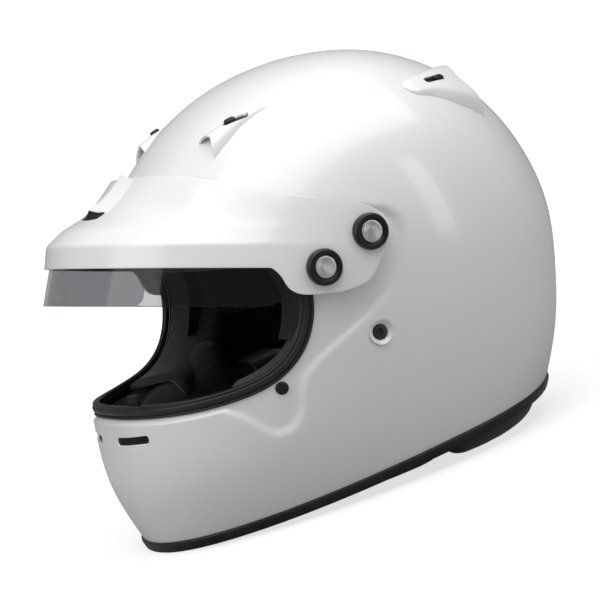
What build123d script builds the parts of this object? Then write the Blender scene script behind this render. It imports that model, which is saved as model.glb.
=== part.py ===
from build123d import *
from functools import lru_cache
from math import atan2, cos, degrees, hypot, pi, radians, sin, sqrt
import os

# Full-face car racing helmet, standing on its chin edge, cheek pads and neck roll.
# +Z is up, the face looks along -Y, and the wearer's left is +X.

# Overall shell sizes
overall_length = 304.0
shell_height = 249.0
half_width = 127.5
front_reach = 173.0
rear_reach = 127.0
shell_wall = 4.0
worn_pitch = 20.0

# Stations of the shell from the crown down to the table, as shares of the sizes above
height_shares = (1.0, 0.964, 0.851, 0.723, 0.602, 0.462, 0.321, 0.161, 0.0)
front_shares = (0.0, 0.289, 0.560, 0.739, 0.855, 0.942, 0.980, 1.0, 0.955)
rear_shares = (0.0, 0.397, 0.728, 0.902, 0.980, 1.0, 0.951, 0.835, 0.665)
width_shares = (0.0, 0.467, 0.797, 0.940, 0.993, 1.0, 0.966, 0.889, 0.782)
corner_powers = (2.2, 2.2, 2.25, 2.3, 2.35, 2.4, 2.35, 2.35, 2.1)
loft_stations = (0.16, 0.3, 0.45, 0.6, 0.72, 0.83, 0.92, 1.0, 1.03)
section_points = 16

# Lower rim
rim_front_height = 1.0
rim_rise = 0.058

# Face opening, side view, as shares of half the length and of the shell height
eyeport_shares = (
    (-1.02, 0.366), (-0.84, 0.346), (-0.63, 0.341), (-0.51, 0.352), (-0.395, 0.392),
    (-0.318, 0.465), (-0.297, 0.540), (-0.330, 0.600), (-0.43, 0.632),
)
eyeport_brow_shares = ((-1.3, 0.845), (-1.3, 0.366))
seal_lap = 4.5
seal_lip = 3.5
seal_thickness = 1.6
seal_fit = 0.15

# Stepped recess where a face shield would lie
recess_shares = (
    (-0.72, 0.330), (-0.63, 0.288), (-0.575, 0.250), (-0.53, 0.226), (-0.475, 0.228),
    (-0.430, 0.262), (-0.398, 0.322), (-0.325, 0.357), (-0.194, 0.392), (-0.042, 0.435),
    (0.054, 0.488), (0.110, 0.534), (0.133, 0.580), (0.125, 0.605), (0.086, 0.631),
)
recess_top_shares = ((-1.3, 0.940), (-1.3, 0.42))
recess_depth = 2.5
ledge_width = 6.5

# Rim trim
trim_height = 7.0
trim_thickness = 1.8
trim_fit = 0.15

# Liners and pads, thicknesses measured inwards from the shell's outer face
liner_gap = 0.3
liner_edge = 1.5
liner_thickness = 34.0
crown_pad_thickness = 10.0
chin_liner_depth = 25.0
liner_shares = (
    (-1.4, 0.72), (-0.55, 0.60), (-0.38, 0.413), (-0.228, 0.403), (-0.21, 0.308),
    (0.06, 0.308), (0.10, 0.112), (1.4, 0.160), (1.4, 1.2), (-1.4, 1.2),
)
crown_pad_shares = (
    (-1.4, 0.86), (-0.40, 0.690), (-0.25, 0.560), (-0.19, 0.43), (0.10, 0.40), (1.4, 0.34), (1.4, 1.2), (-1.4, 1.2),
)
chin_liner_shares = ((-1.3, 0.050), (-0.785, 0.050), (-0.785, 0.315), (-1.3, 0.325))
cheek_shares = (
    (-0.745, 0.004), (-0.770, 0.13), (-0.735, 0.27), (-0.56, 0.318), (-0.42, 0.360), (-0.335, 0.400),
    (-0.262, 0.392), (-0.240, 0.292), (-0.06, 0.284), (0.045, 0.283), (0.075, 0.20), (0.078, 0.004),
)
cheek_face_x = 58.0
cheek_crown = 14.0
neck_roll_levels_shares = ((0.0, 0.24), (0.05, 0.15), (0.25, 0.03), (0.55, 0.0), (0.85, 0.07), (1.0, 0.2))
neck_roll_height = 27.0
neck_roll_start = 17.0
neck_roll_depth = 26.0
neck_roll_points = 15
neck_roll_clearance = 1.0
pad_clearance = 0.6

# Peak, in the frame of the helmet as it is worn
peak_gap = 3.0
peak_wall = 2.5
peak_centre_share = -0.486
hood_height_shares = (0.388, 0.474, 0.530, 0.568, 0.601, 0.645, 0.676, 0.71)
hood_reach_shares = (1.0, 0.970, 0.962, 0.882, 0.772, 0.652, 0.565, 0.483)
hood_width_shares = (0.944, 0.944, 0.944, 0.900, 0.840, 0.750, 0.680, 0.60)
peak_sections = 9
peak_points = 28
peak_blend = 40
peak_outline_shares = (
    (-0.70, 0.4755), (-0.667, 0.455), (-0.640, 0.429), (-0.598, 0.4165), (-0.537, 0.4165), (-0.428, 0.4255),
    (-0.375, 0.437), (-0.343, 0.449), (-0.307, 0.487), (-0.276, 0.523), (-0.260, 0.563), (-0.270, 0.581),
    (-0.303, 0.604), (-0.366, 0.6195), (-0.584, 0.639), (-0.73, 0.6545), (-0.917, 0.687),
)
peak_front_shares = ((-1.5, 0.72), (-1.5, 0.4755))
peak_tilt = 12.0
peak_tilt_shares = (0.5, 1.0)
peak_tilt_clearance = 0.8
scoop_shares = ((-1.148, 0.605), (-0.90, 0.690))
scoop_half_width = 15.0
scoop_height = 5.0
scoop_wall = 1.4
scoop_mouth_depth = 16.0

# Smoked shade strip under the peak's lip
shade_wall = 1.5
shade_low_share = 0.388
shade_high_share = 0.505
shade_rear_share = -0.655
shade_corner = 9.0
shade_gap = 0.3

# Peak screws, side view places as shares, then sizes
pivot_shares = (-0.008, 0.5955)
front_screw_shares = (-0.2185, 0.556)
collar_radius = 10.5
collar_height = 3.4
collar_clearance = 0.7
screw_head_radius = 6.5
screw_head_height = 2.8
screw_shank_radius = 2.5
shank_fit = 0.08
insert_flange_radius = 7.0
insert_flange = 1.2
insert_barrel_radius = 4.2

# Side anchors and shield plugs
anchor_shares = (-0.069, 0.3675)
anchor_hole_radius = 4.7
anchor_dish_radius = 6.8
anchor_dish_depth = 1.6
anchor_screw_radius = 4.4
anchor_shank_radius = 2.95
anchor_sink = 2.0
anchor_head = 1.2
anchor_flange_radius = 9.0
plug_shares = (-0.469, 0.321)
plug_radius = 3.9
plug_height = 1.2
plug_stem_radius = 2.9

# Chin vent
chin_slot_length = 34.0
chin_slot_height = 5.0
chin_slot_centre = 31.0
chin_slot_share = 0.288
shutter_wall = 1.8
shutter_height = 13.0
shutter_half_width = 52.0
shutter_gap = 1.8
screen_wall = 0.6
tab_width = 10.0
tab_rise = 18.0

# Air ducts on the crown
front_duct_x = 63.5
front_duct_y = -33.0
front_duct_length = 46.0
front_duct_half_width = 12.0
front_duct_heading = 16.0
front_duct_heights = (4.6, -1.6)
rear_duct_x = 83.0
rear_duct_y = 88.0
rear_duct_length = 54.0
rear_duct_half_width = 22.0
rear_duct_heading = -15.0
rear_duct_heights = (4.4, -2.4)
duct_outline_shares = (
    (-0.50, 0.86), (-0.46, 1.0), (-0.10, 0.66), (0.50, 0.06),
    (0.50, -0.06), (-0.10, -0.66), (-0.46, -1.0), (-0.50, -0.86), (-0.30, 0.0),
)
duct_sink = 6.0
duct_rise = 6.0
duct_foot_shares = (1.10, 1.35)
duct_roof_shares = (0.90, 0.50)
duct_roof_radius = 110.0
duct_roof = 1.4
duct_seat = 0.1
duct_passage = 5.0
slider_slot_share = 0.08
slider_slot_length = 15.0
slider_slot_width = 4.0
slider_knob_length = 6.0
slider_fit = 0.3
slider_travel = 7.0
slider_rise = 1.6
slider_foot_length = 9.0
slider_foot_width = 6.5
slider_foot = 0.8

# Chin strap
strap_width = 24.0
strap_thickness = 2.0
strap_share = -0.092
strap_top_share = 0.303
strap_bend = 4.0
strap_left_low = 34.0
strap_right_low = 16.0
strap_right_end = 60.0
strap_fold_gap = 1.0
strap_loop_radius = 3.5
ring_width = 33.0
ring_height = 19.0
ring_corner = 5.0
ring_wire_radius = 1.4
ring_spacing = 3.2
snap_radius = 6.5
snap_height = 1.6
hanger_wall = 1.5
hanger_half_width = 13.0
hanger_height = 30.0

overrun = 60.0
probe = 0.01

half_length = overall_length / 2
crown_y = half_length - rear_reach
tilt_cos = cos(radians(worn_pitch))
tilt_sin = sin(radians(worn_pitch))
worn_frame = Location((0, 0, 0), (-worn_pitch, 0, 0))


def smooth_table(places, values, place):
    """Value of a smooth curve through a table, by cubic pieces with slopes from the neighbours."""
    last = len(places) - 1
    rising = places[last] > places[0]
    piece = 0
    while piece < last - 1 and (place > places[piece + 1]) == rising:
        piece += 1

    def slope(k):
        low, high = max(k - 1, 0), min(k + 1, last)
        return (values[high] - values[low]) / (places[high] - places[low])

    span = places[piece + 1] - places[piece]
    u = (place - places[piece]) / span
    start, end = values[piece], values[piece + 1]
    leave, arrive = slope(piece) * span, slope(piece + 1) * span
    bend = 3 * (end - start) - 2 * leave - arrive
    rest = 2 * (start - end) + leave + arrive
    return start + u * (leave + u * (bend + u * rest))


station_places = tuple(sqrt(1 - share) for share in height_shares)


def station(place, grow):
    """Half width, front reach, rear reach and corner power of the shell at a place below the crown."""
    wide = (half_width + grow) * smooth_table(station_places, width_shares, place)
    front = (front_reach + grow) * smooth_table(station_places, front_shares, place)
    rear = (rear_reach + grow) * smooth_table(station_places, rear_shares, place)
    power = smooth_table(station_places, corner_powers, place)
    return wide, front, rear, power


def place_of(z, grow):
    """Place below the crown of a height."""
    return sqrt(max(1 - z / (shell_height + grow), 0))


def skin_measure(x, y, z, grow=0.0):
    """Under 1 inside the shell's outer form, over 1 outside it."""
    if z >= shell_height + grow:
        return 2 + z / shell_height
    wide, front, rear, power = station(place_of(z, grow), grow)
    reach = front if y < crown_y else rear
    if wide <= 0 or reach <= 0:
        return 2 + z / shell_height
    return (abs(x) / wide) ** power + (abs(y - crown_y) / reach) ** power


def side_x(y, z, grow=0.0):
    """Half width of the shell's outer form at a point of the side view."""
    wide, front, rear, power = station(place_of(z, grow), grow)
    reach = front if y < crown_y else rear
    return wide * (1 - (abs(y - crown_y) / reach) ** power) ** (1 / power)


def crown_z(x, y, grow=0.0):
    """Height of the shell's outer form above a point of the plan."""
    low, high = shell_height / 2, shell_height + grow
    for _ in range(section_points * 2):
        middle = (low + high) / 2
        if skin_measure(x, y, middle, grow) < 1:
            low = middle
        else:
            high = middle
    return low


def skin_normal(x, y, z, grow=0.0):
    """Outward direction of the shell's outer form."""
    here = skin_measure(x, y, z, grow)
    return Vector(
        skin_measure(x + probe, y, z, grow) - here,
        skin_measure(x, y + probe, z, grow) - here,
        skin_measure(x, y, z + probe, grow) - here,
    ).normalized()


def level_point(turn, z, sizes):
    """Point of a level curve of the shell, at a turn from the front, for its half width, reaches and power."""
    wide, front, rear, power = sizes
    reach = front if cos(turn) > 0 else rear
    far = (abs(sin(turn)) ** power + abs(cos(turn)) ** power) ** (-1 / power)
    return Vector(wide * far * sin(turn), crown_y - reach * far * cos(turn), z)


def section_wire(place, grow):
    """Closed level curve of the shell's outer form."""
    z = (shell_height + grow) * (1 - place * place)
    turns = [2 * pi * k / section_points for k in range(section_points)]
    return Wire([Edge.make_spline([level_point(turn, z, station(place, grow)) for turn in turns], periodic=True)])


@lru_cache(maxsize=None)
def shell_form(grow=0.0):
    """Solid of the shell's outer form, grown outwards or inwards."""
    crown = Vertex(0, crown_y, shell_height + grow)
    return Solid.make_loft([crown] + [section_wire(place, grow) for place in loft_stations])


def walled(region, outer, inner):
    """The part of a region that lies between two grown forms of the shell."""
    return (region & shell_form(outer)) - shell_form(inner)


def side_point(shares):
    """Point of the side view from shares of half the length and of the shell height."""
    return (shares[0] * half_length, shares[1] * shell_height)


def grown_line(points, by):
    """Line through points of the side view, moved to its left by a distance."""
    moved = []
    for k, (y, z) in enumerate(points):
        before, after = points[max(k - 1, 0)], points[min(k + 1, len(points) - 1)]
        run, rise = after[0] - before[0], after[1] - before[1]
        length = hypot(run, rise)
        moved.append((y - by * rise / length, z + by * run / length))
    return moved


def across(face):
    """Prism of a face of the side view right across the helmet."""
    return extrude(face, half_width + overrun, both=True)


def side_face(curved, straight, place=Location()):
    """Face of the side view bounded by a smooth line and straight ones."""
    line = [Vector(0, y, z) for y, z in curved]
    rest = [Vector(0, y, z) for y, z in straight]
    edges = [Edge.make_spline(line)]
    corners = [line[-1]] + rest + [line[0]]
    edges += [Edge.make_line(a, b) for a, b in zip(corners, corners[1:])]
    return place * Face(Wire(edges))


def eyeport_prism(grow=0.0):
    """Prism of the face opening, grown outwards."""
    curved = grown_line([side_point(s) for s in eyeport_shares], -grow)
    (front, top), (_, low) = [side_point(s) for s in eyeport_brow_shares]
    return across(side_face(curved, [(front, top + grow), (front, low - grow)]))


def recess_prism():
    """Prism of the stepped recess."""
    return across(side_face([side_point(s) for s in recess_shares], [side_point(s) for s in recess_top_shares]))


def polygon_prism(shares):
    """Prism of a straight-sided outline of the side view."""
    points = [Vector(0, *side_point(s)) for s in shares]
    return across(Face(Wire.make_polygon(points)))


def level_block(low, high):
    """Block between two planes that rise backwards with the rim, at heights over the chin."""
    front, back = -half_length - overrun, half_length + overrun

    def at(y, height):
        return Vector(0, y, height + rim_rise * (y + half_length))

    return across(Face(Wire.make_polygon([at(front, low), at(back, low), at(back, high), at(front, high)])))


def side_rod(y, z, radius, start, end, side=1):
    """Round bar along X between two distances from the middle."""
    plane = Plane(origin=(side * start, y, z), z_dir=(side, 0, 0))
    return Solid.make_cylinder(radius, end - start, plane)


def both_sides(shape):
    """The shape and its mirror image."""
    return [shape, shape.mirror(Plane.YZ)]


def single(shape):
    """The largest solid of a cut."""
    solids = shape.solids()
    return max(solids, key=lambda s: s.volume)


pivot = side_point(pivot_shares)
front_screw = side_point(front_screw_shares)
anchor = side_point(anchor_shares)
plug = side_point(plug_shares)
chin_slot_z = chin_slot_share * shell_height
shutter_depth = shell_wall + seal_thickness + liner_gap
anchor_depth = shell_wall + hanger_wall + 2 * shank_fit
strap_left_x = cheek_face_x - liner_gap - strap_thickness - strap_loop_radius
strap_right_x = cheek_face_x - liner_gap - snap_height - 2 * shank_fit - strap_thickness / 2


def chin_slots(height, spread):
    """Round-ended bars through the chin, one on each side."""
    bars = []
    for side in (-1, 1):
        origin = (side * chin_slot_centre, -half_length - overrun / 2, chin_slot_z)
        outline = Plane(origin=origin, x_dir=(1, 0, 0), z_dir=(0, 1, 0)) * SlotOverall(chin_slot_length + spread, height)
        bars.append(extrude(outline, 2 * overrun, dir=(0, 1, 0)).solid())
    return bars


def outer_shell():
    """Moulded shell with its face opening, recess, vent slots and screw holes."""
    wall = walled(level_block(rim_front_height, 3 * shell_height), 0.0, -shell_wall)
    wall -= eyeport_prism()
    wall -= (recess_prism() + eyeport_prism(ledge_width)) - shell_form(-recess_depth)
    cuts = chin_slots(chin_slot_height, 0)
    for y, z in (pivot, front_screw):
        cuts += both_sides(side_rod(y, z, insert_barrel_radius + shank_fit, half_width / 2, half_width + overrun))
    cuts += both_sides(side_rod(*anchor, anchor_hole_radius, half_width / 2, half_width + overrun))
    mouth = side_x(*anchor)
    dish = Solid.make_cone(
        anchor_hole_radius, anchor_dish_radius, anchor_dish_depth,
        Plane(origin=(mouth - anchor_dish_depth, *anchor), z_dir=(1, 0, 0)),
    )
    cuts += both_sides(dish)
    cuts += both_sides(side_rod(*plug, plug_stem_radius + shank_fit, half_width / 2, half_width + overrun))
    for duct in (front_duct, rear_duct):
        cuts += both_sides(duct_rod(duct, duct_passage))
    return [single(wall.cut(*cuts))]


def eyeport_seal():
    """Rubber channel round the face opening, seated on the ledge."""
    region, ledge = eyeport_prism(seal_lap), -recess_depth
    block = walled(region, ledge + seal_thickness, -shell_wall - seal_thickness) - eyeport_prism(-seal_lip)
    edge = walled(region - eyeport_prism(-seal_fit), ledge + seal_fit, -shell_wall - seal_fit)
    return [single(block - edge)]


def floor_block():
    """Everything under the table's level."""
    return Box(4 * half_width, 2 * overall_length, overrun, align=(Align.CENTER, Align.CENTER, Align.MAX))


def edge_trim():
    """Rubber channel along the lower rim, cut level where it stands on the table."""
    low = rim_front_height - trim_thickness
    block = walled(level_block(low, low + trim_height), trim_thickness, -shell_wall - trim_thickness) - floor_block()
    edge = level_block(rim_front_height - trim_fit, low + 2 * trim_height)
    return [single(block - walled(edge, trim_fit, -shell_wall - trim_fit))]


def impact_liner():
    """Foam liner inside the shell's crown, sides and back."""
    foam = walled(polygon_prism(liner_shares) - eyeport_prism(liner_edge),
                  -shell_wall - liner_gap, -shell_wall - liner_thickness)
    cuts = [eyeport_prism(seal_lap + liner_gap) - shell_form(-shutter_depth)]
    for y, z in (pivot, front_screw):
        deep = side_x(y, z, -shell_wall - 2 * insert_flange - liner_gap)
        cuts += both_sides(side_rod(y, z, insert_flange_radius + liner_gap, deep, half_width + overrun))
    cuts += both_sides(hanger_block(liner_gap) - shell_form(-anchor_depth - 3 * insert_flange))
    for duct in (front_duct, rear_duct):
        cuts += both_sides(duct_rod(duct, duct_passage))
    return [single(foam.cut(*cuts))]


def crown_pad():
    """Soft lining inside the foam liner."""
    start = -shell_wall - liner_thickness - pad_clearance
    return [single(walled(polygon_prism(crown_pad_shares), start, start - crown_pad_thickness))]


def chin_liner():
    """Foam block in the chin bar, open behind the vent slots."""
    start = -shutter_depth - shutter_wall - shutter_gap
    foam = walled(polygon_prism(chin_liner_shares), start, start - chin_liner_depth)
    return [single(foam.cut(*chin_slots(chin_slot_height, 0)))]


def chin_vent_screens():
    """Flat screens in the shell's slots."""
    start = -2 * screen_wall
    bars = chin_slots(chin_slot_height - liner_gap, -liner_gap)
    return [single(walled(bar, start, start - screen_wall)) for bar in bars]


def chin_vent_shutter():
    """Curved plate behind the vent slots, with a finger tab above the chin bar."""
    start = -shutter_depth
    low, front = chin_slot_z - shutter_height / 2, -half_length - overrun / 2
    corner = (Align.CENTER, Align.MIN, Align.MIN)
    plate = Box(2 * shutter_half_width, overrun, shutter_height, align=corner).moved(Location((0, front, low)))
    tab = Box(tab_width, overrun, shutter_height + tab_rise, align=corner)
    tab = tab.moved(Location((chin_slot_centre, front, low)))
    return [single(walled(plate + tab, start, start - shutter_wall))]


def cheek_pad(side):
    """Cushion at the cheek, crowned towards the face."""
    points = [side_point(s) for s in cheek_shares]
    middle_y = sum(p[0] for p in points) / len(points)
    middle_z = sum(p[1] for p in points) / len(points)

    def outline(x, draw_in):
        scaled = [(middle_y + (y - middle_y) * draw_in, middle_z + (z - middle_z) * draw_in) for y, z in points]
        line = [Vector(x, y, max(z, 0)) for y, z in scaled]
        return Wire.make_polygon(line)

    crown = cheek_crown
    levels = ((0, 0.74), (0.10, 0.86), (0.32, 0.94), (0.7, 0.985), (1.0, 1.0))
    wires = [outline(cheek_face_x + crown * share, draw_in) for share, draw_in in levels]
    wires.append(outline(half_width + overrun / 4, 1.0))
    pad = Solid.make_loft(wires, ruled=True) & shell_form(-shell_wall - trim_thickness - pad_clearance)
    pad = single(pad)
    return [pad if side > 0 else pad.mirror(Plane.YZ)]


def roll_wire(level, draw_in):
    """Level outline of the neck roll, drawn in from its full width."""
    z = level * neck_roll_height
    start = -shell_wall - trim_thickness - neck_roll_clearance
    depth = neck_roll_depth
    edges, ends = [], []
    for grow in (start - draw_in * depth, start - (1 - draw_in) * depth):
        sizes = station(place_of(z, grow), grow)
        first = pi / 2 - (crown_y - neck_roll_start - draw_in * depth) / sizes[1]
        turns = [first + 2 * (pi - first) * k / (neck_roll_points - 1) for k in range(neck_roll_points)]
        points = [level_point(turn, z, sizes) for turn in turns]
        edges.append(Edge.make_spline(points))
        ends.append((points[0], points[-1]))
    edges.append(Edge.make_line(ends[0][0], ends[1][0]))
    edges.append(Edge.make_line(ends[0][1], ends[1][1]))
    return Wire(edges)


def neck_roll():
    """Padded roll round the back of the neck, hanging below the rim."""
    return [Solid.make_loft([roll_wire(*level) for level in neck_roll_levels_shares])]


def worn_to_table(y, z):
    """Side view point of the worn frame, in the table frame."""
    return y * tilt_cos + z * tilt_sin, z * tilt_cos - y * tilt_sin


hood_centre = peak_centre_share * half_length
shade_tip = (half_length + shade_low_share * shell_height * tilt_sin) / tilt_cos
lip_reach = hood_centre + shade_tip + peak_wall + shade_gap


def hood_radius(turn, z, thin):
    """Radius of the peak's front from its centre line, at a height of the worn frame."""
    places = tuple(share * shell_height for share in hood_height_shares)
    reach = smooth_table(places, hood_reach_shares, z) * lip_reach - thin
    wide = smooth_table(places, hood_width_shares, z) * half_width - thin
    if cos(turn) <= 0:
        reach = wide * wide / reach
    return 1 / hypot(sin(turn) / wide, cos(turn) / reach)


def skin_radius(turn, z, grow, tilt=0.0):
    """Radius of the shell's outer form from the same centre line with the peak tilted, found by halving."""
    low, high = 0.0, overall_length
    lean_cos, lean_sin = cos(radians(tilt)), sin(radians(tilt))
    for _ in range(section_points * 2):
        middle = (low + high) / 2
        y, table_z = worn_to_table(hood_centre - middle * cos(turn), z)
        y, table_z = y - pivot[0], table_z - pivot[1]
        y, table_z = pivot[0] + y * lean_cos - table_z * lean_sin, pivot[1] + y * lean_sin + table_z * lean_cos
        if skin_measure(middle * sin(turn), y, table_z, grow) < 1:
            low = middle
        else:
            high = middle
    return low


def swept_radius(turn, z, grow):
    """Radius that clears the shell over the peak's whole tilt, run over smoothly from tilt to tilt."""
    far = skin_radius(turn, z, grow)
    for share in peak_tilt_shares:
        other = skin_radius(turn, z, grow - peak_gap + peak_tilt_clearance, share * peak_tilt)
        far = (far + other + hypot(far - other, peak_tilt_clearance)) / 2
    return far


def peak_form(grow, thin, low_share, high_share, sections=peak_sections):
    """Solid of the peak's outside or inside, lofted through levels of the worn frame."""
    wires = []
    for level in range(sections + 1):
        z = shell_height * (low_share + (high_share - low_share) * level / sections)
        points = []
        for k in range(peak_points):
            turn = 2 * pi * k / peak_points
            hood, skin = hood_radius(turn, z, thin), swept_radius(turn, z, grow)
            far = (hood ** peak_blend + skin ** peak_blend) ** (1 / peak_blend)
            points.append(Vector(far * sin(turn), hood_centre - far * cos(turn), z))
        wires.append(Wire([Edge.make_spline(points, periodic=True)]))
    return worn_frame * Solid.make_loft(wires)


def arc_slot(radius):
    """Face of the slot that the front screws run in, about the rear screws."""
    reach_y, reach_z = front_screw[0] - pivot[0], front_screw[1] - pivot[1]
    reach = hypot(reach_y, reach_z)
    start = degrees(atan2(reach_z, reach_y))
    plane = Plane(origin=(0, *pivot), x_dir=(0, 1, 0), z_dir=(1, 0, 0))
    arc = CenterArc((0, 0), reach, start, -peak_tilt)
    return plane * SlotArc(arc, 2 * radius)


def scoop_gable(thin, length):
    """Gabled bar along the middle of the hood, from the air scoop's mouth backwards."""
    (y, z), (back_y, back_z) = [side_point(s) for s in scoop_shares]
    plane = Plane(origin=(0, y, z), x_dir=(1, 0, 0), z_dir=(0, back_y - y, back_z - z))
    half, top = scoop_half_width - 3 * thin, scoop_height - thin
    corners = [(-half, 2 * scoop_height), (-half, 0), (0, -top), (half, 0), (half, 2 * scoop_height)]
    face = Face(Wire.make_polygon([plane.from_local_coords(Vector(*c, 0)) for c in corners]))
    return worn_frame * extrude(face, length, dir=plane.z_dir)


def peak():
    """Peak with its lip, side plates, air scoop and screw holes."""
    low, high = peak_outline_shares[4][1] - 0.03, hood_height_shares[-1]
    hood = peak_form(peak_gap + peak_wall, 0.0, low, high) + scoop_gable(0.0, half_length / 2)
    wall = hood - peak_form(peak_gap, peak_wall, low, high)
    wall -= scoop_gable(scoop_wall, scoop_mouth_depth)
    outline = side_face([side_point(s) for s in peak_outline_shares],
                        [side_point(s) for s in peak_front_shares], worn_frame)
    wall = wall & across(outline)
    wall -= across(arc_slot(screw_shank_radius + shank_fit))
    for hole in both_sides(side_rod(*pivot, screw_shank_radius + shank_fit, half_width / 2, half_width + overrun)):
        wall -= hole
    return [single(wall)]


def peak_shade():
    """Curved smoked strip inside the peak's lip."""
    low, high = shade_low_share, shade_high_share
    outer = peak_form(peak_gap - shade_gap, peak_wall + shade_gap, low, high, peak_sections // 2)
    inner = peak_form(peak_gap - shade_gap - shade_wall, peak_wall + shade_gap + shade_wall, low, high,
                      peak_sections // 2)
    rear, front = shade_rear_share * half_length, -half_length - overrun
    bottom, top = (low - 0.1) * shell_height, (high + 0.1) * shell_height
    corner = low * shell_height
    edges = [
        Edge.make_line((0, front, bottom), (0, rear - shade_corner, bottom)),
        Edge.make_line((0, rear - shade_corner, bottom), (0, rear - shade_corner, corner)),
        Edge.make_three_point_arc(
            (0, rear - shade_corner, corner),
            (0, rear - shade_corner * (1 - sqrt(0.5)), corner + shade_corner * (1 - sqrt(0.5))),
            (0, rear, corner + shade_corner),
        ),
        Edge.make_line((0, rear, corner + shade_corner), (0, rear, top)),
        Edge.make_line((0, rear, top), (0, front, top)),
        Edge.make_line((0, front, top), (0, front, bottom)),
    ]
    face = worn_frame * Face(Wire(edges))
    return [single((outer - inner) & across(face))]


def screw_base(y, z):
    """Distance from the middle that clears the peak's outer face all round a screw's head."""
    around = ((screw_head_radius, 0), (-screw_head_radius, 0), (0, screw_head_radius), (0, -screw_head_radius))
    return max(side_x(y + a, z + b, peak_gap + peak_wall) for a, b in around) + collar_clearance


def peak_collars():
    """Black dished collars under the peak screws."""
    solids = []
    for y, z in (pivot, front_screw):
        top = screw_base(y, z) + collar_height
        collar = side_rod(y, z, collar_radius, half_width * 0.8, top)
        collar = collar.fillet(collar_height * 0.35, [collar.edges().sort_by(Axis.X)[-1]])
        collar -= side_rod(y, z, screw_head_radius + shank_fit, top - screw_head_height, top + overrun)
        collar -= side_rod(y, z, screw_shank_radius + shank_fit, 0, top + overrun)
        collar -= shell_form(peak_gap + peak_wall + collar_clearance)
        solids += both_sides(single(collar))
    return solids


def peak_screws():
    """Bright disc-headed screws through the peak into the shell's inserts."""
    solids = []
    for y, z in (pivot, front_screw):
        seat = screw_base(y, z) + collar_height - screw_head_height
        head = side_rod(y, z, screw_head_radius, seat, seat + screw_head_height + shank_fit)
        head = head.chamfer(screw_head_height / 5, None, [head.edges().sort_by(Axis.X)[-1]])
        shank = side_rod(y, z, screw_shank_radius, side_x(y, z, -shell_wall) - insert_flange, seat)
        solids += both_sides(single(head + shank))
    return solids


def peak_inserts():
    """Flanged nuts in the shell behind the peak screws."""
    solids = []
    for y, z in (pivot, front_screw):
        inner = side_x(y, z, -shell_wall - insert_flange)
        outer = side_x(y, z, -recess_depth)
        nut = side_rod(y, z, insert_barrel_radius, inner, outer)
        flange = side_rod(y, z, insert_flange_radius, inner - insert_flange, outer) & shell_form(-shell_wall - shank_fit)
        nut = single(nut + flange) - side_rod(y, z, screw_shank_radius + shank_fit, 0, half_width + overrun)
        solids += both_sides(single(nut))
    return solids


def anchor_inserts():
    """Flanged steel sleeves for the side anchors."""
    y, z = anchor
    outer = side_x(y, z) - anchor_sink - anchor_head
    inner = side_x(y, z, -anchor_depth) - insert_flange
    sleeve = side_rod(y, z, anchor_hole_radius - shank_fit, inner, outer)
    flange = side_rod(y, z, anchor_flange_radius, inner, outer) & shell_form(-anchor_depth)
    sleeve = single(sleeve + flange) - side_rod(y, z, anchor_shank_radius + shank_fit, 0, half_width + overrun)
    return both_sides(single(sleeve))


def anchor_screws():
    """Black screws sunk in the side anchors."""
    y, z = anchor
    outer = side_x(y, z) - anchor_sink - anchor_head
    head = side_rod(y, z, anchor_screw_radius, outer, outer + anchor_head)
    head = head.chamfer(anchor_head / 3, None, [head.edges().sort_by(Axis.X)[-1]])
    shank = side_rod(y, z, anchor_shank_radius, side_x(y, z, -anchor_depth) - insert_flange, outer)
    return both_sides(single(head + shank))


def shield_plugs():
    """Rubber plugs in the shield lock holes."""
    y, z = plug
    seat = side_x(y, z, -recess_depth)
    head = side_rod(y, z, plug_radius, seat - shell_wall, seat + plug_height) - shell_form(-recess_depth + shank_fit)
    stem = side_rod(y, z, plug_stem_radius, side_x(y, z, -shell_wall), seat + plug_height / 2)
    return both_sides(single(single(head) + stem))


front_duct = (front_duct_x, front_duct_y, front_duct_length, front_duct_half_width, front_duct_heights,
              front_duct_heading, 1)
rear_duct = (rear_duct_x, rear_duct_y, rear_duct_length, rear_duct_half_width, rear_duct_heights,
             rear_duct_heading, -1)


def duct_plane(duct):
    """Plane on the shell at a duct, with its x direction running backwards along the duct."""
    x, y, heading = duct[0], duct[1], duct[5]
    z = crown_z(x, y)
    normal = skin_normal(x, y, z)
    ahead = Vector(sin(radians(heading)), cos(radians(heading)), 0)
    ahead = (ahead - normal * ahead.dot(normal)).normalized()
    return Plane(origin=(x, y, z), x_dir=ahead, z_dir=normal)


def duct_rod(duct, radius):
    """Round bar square to the shell at a duct, down through the liners."""
    plane = duct_plane(duct)
    start = plane.from_local_coords(Vector(0, 0, -overrun))
    return Solid.make_cylinder(radius, 2 * overrun, Plane(origin=start, z_dir=plane.z_dir))


def duct_arc(duct):
    """Middle of the circle that the roof follows, along and above the duct, with x from mouth to tail."""
    length, (mouth, tail) = duct[2], duct[4]
    chord = hypot(length, tail - mouth)
    deep = sqrt(duct_roof_radius ** 2 - (chord / 2) ** 2)
    return deep * (tail - mouth) / chord, (mouth + tail) / 2 - deep * length / chord


def duct_top(duct):
    """Plane on a duct's roof at its slider slot, with x running from mouth to tail."""
    length, sense = duct[2], duct[6]
    plane = duct_plane(duct)
    along, above = duct_arc(duct)
    lean = (slider_slot_share * length - along) / duct_roof_radius
    up = sqrt(1 - lean * lean)
    origin = Vector(sense * (along + duct_roof_radius * lean), 0, above + duct_roof_radius * up)
    out = plane.from_local_coords(Vector(sense * lean, 0, up)) - plane.origin
    run = plane.from_local_coords(Vector(sense * up, 0, -lean)) - plane.origin
    return Plane(origin=plane.from_local_coords(origin), x_dir=run, z_dir=out)


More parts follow.
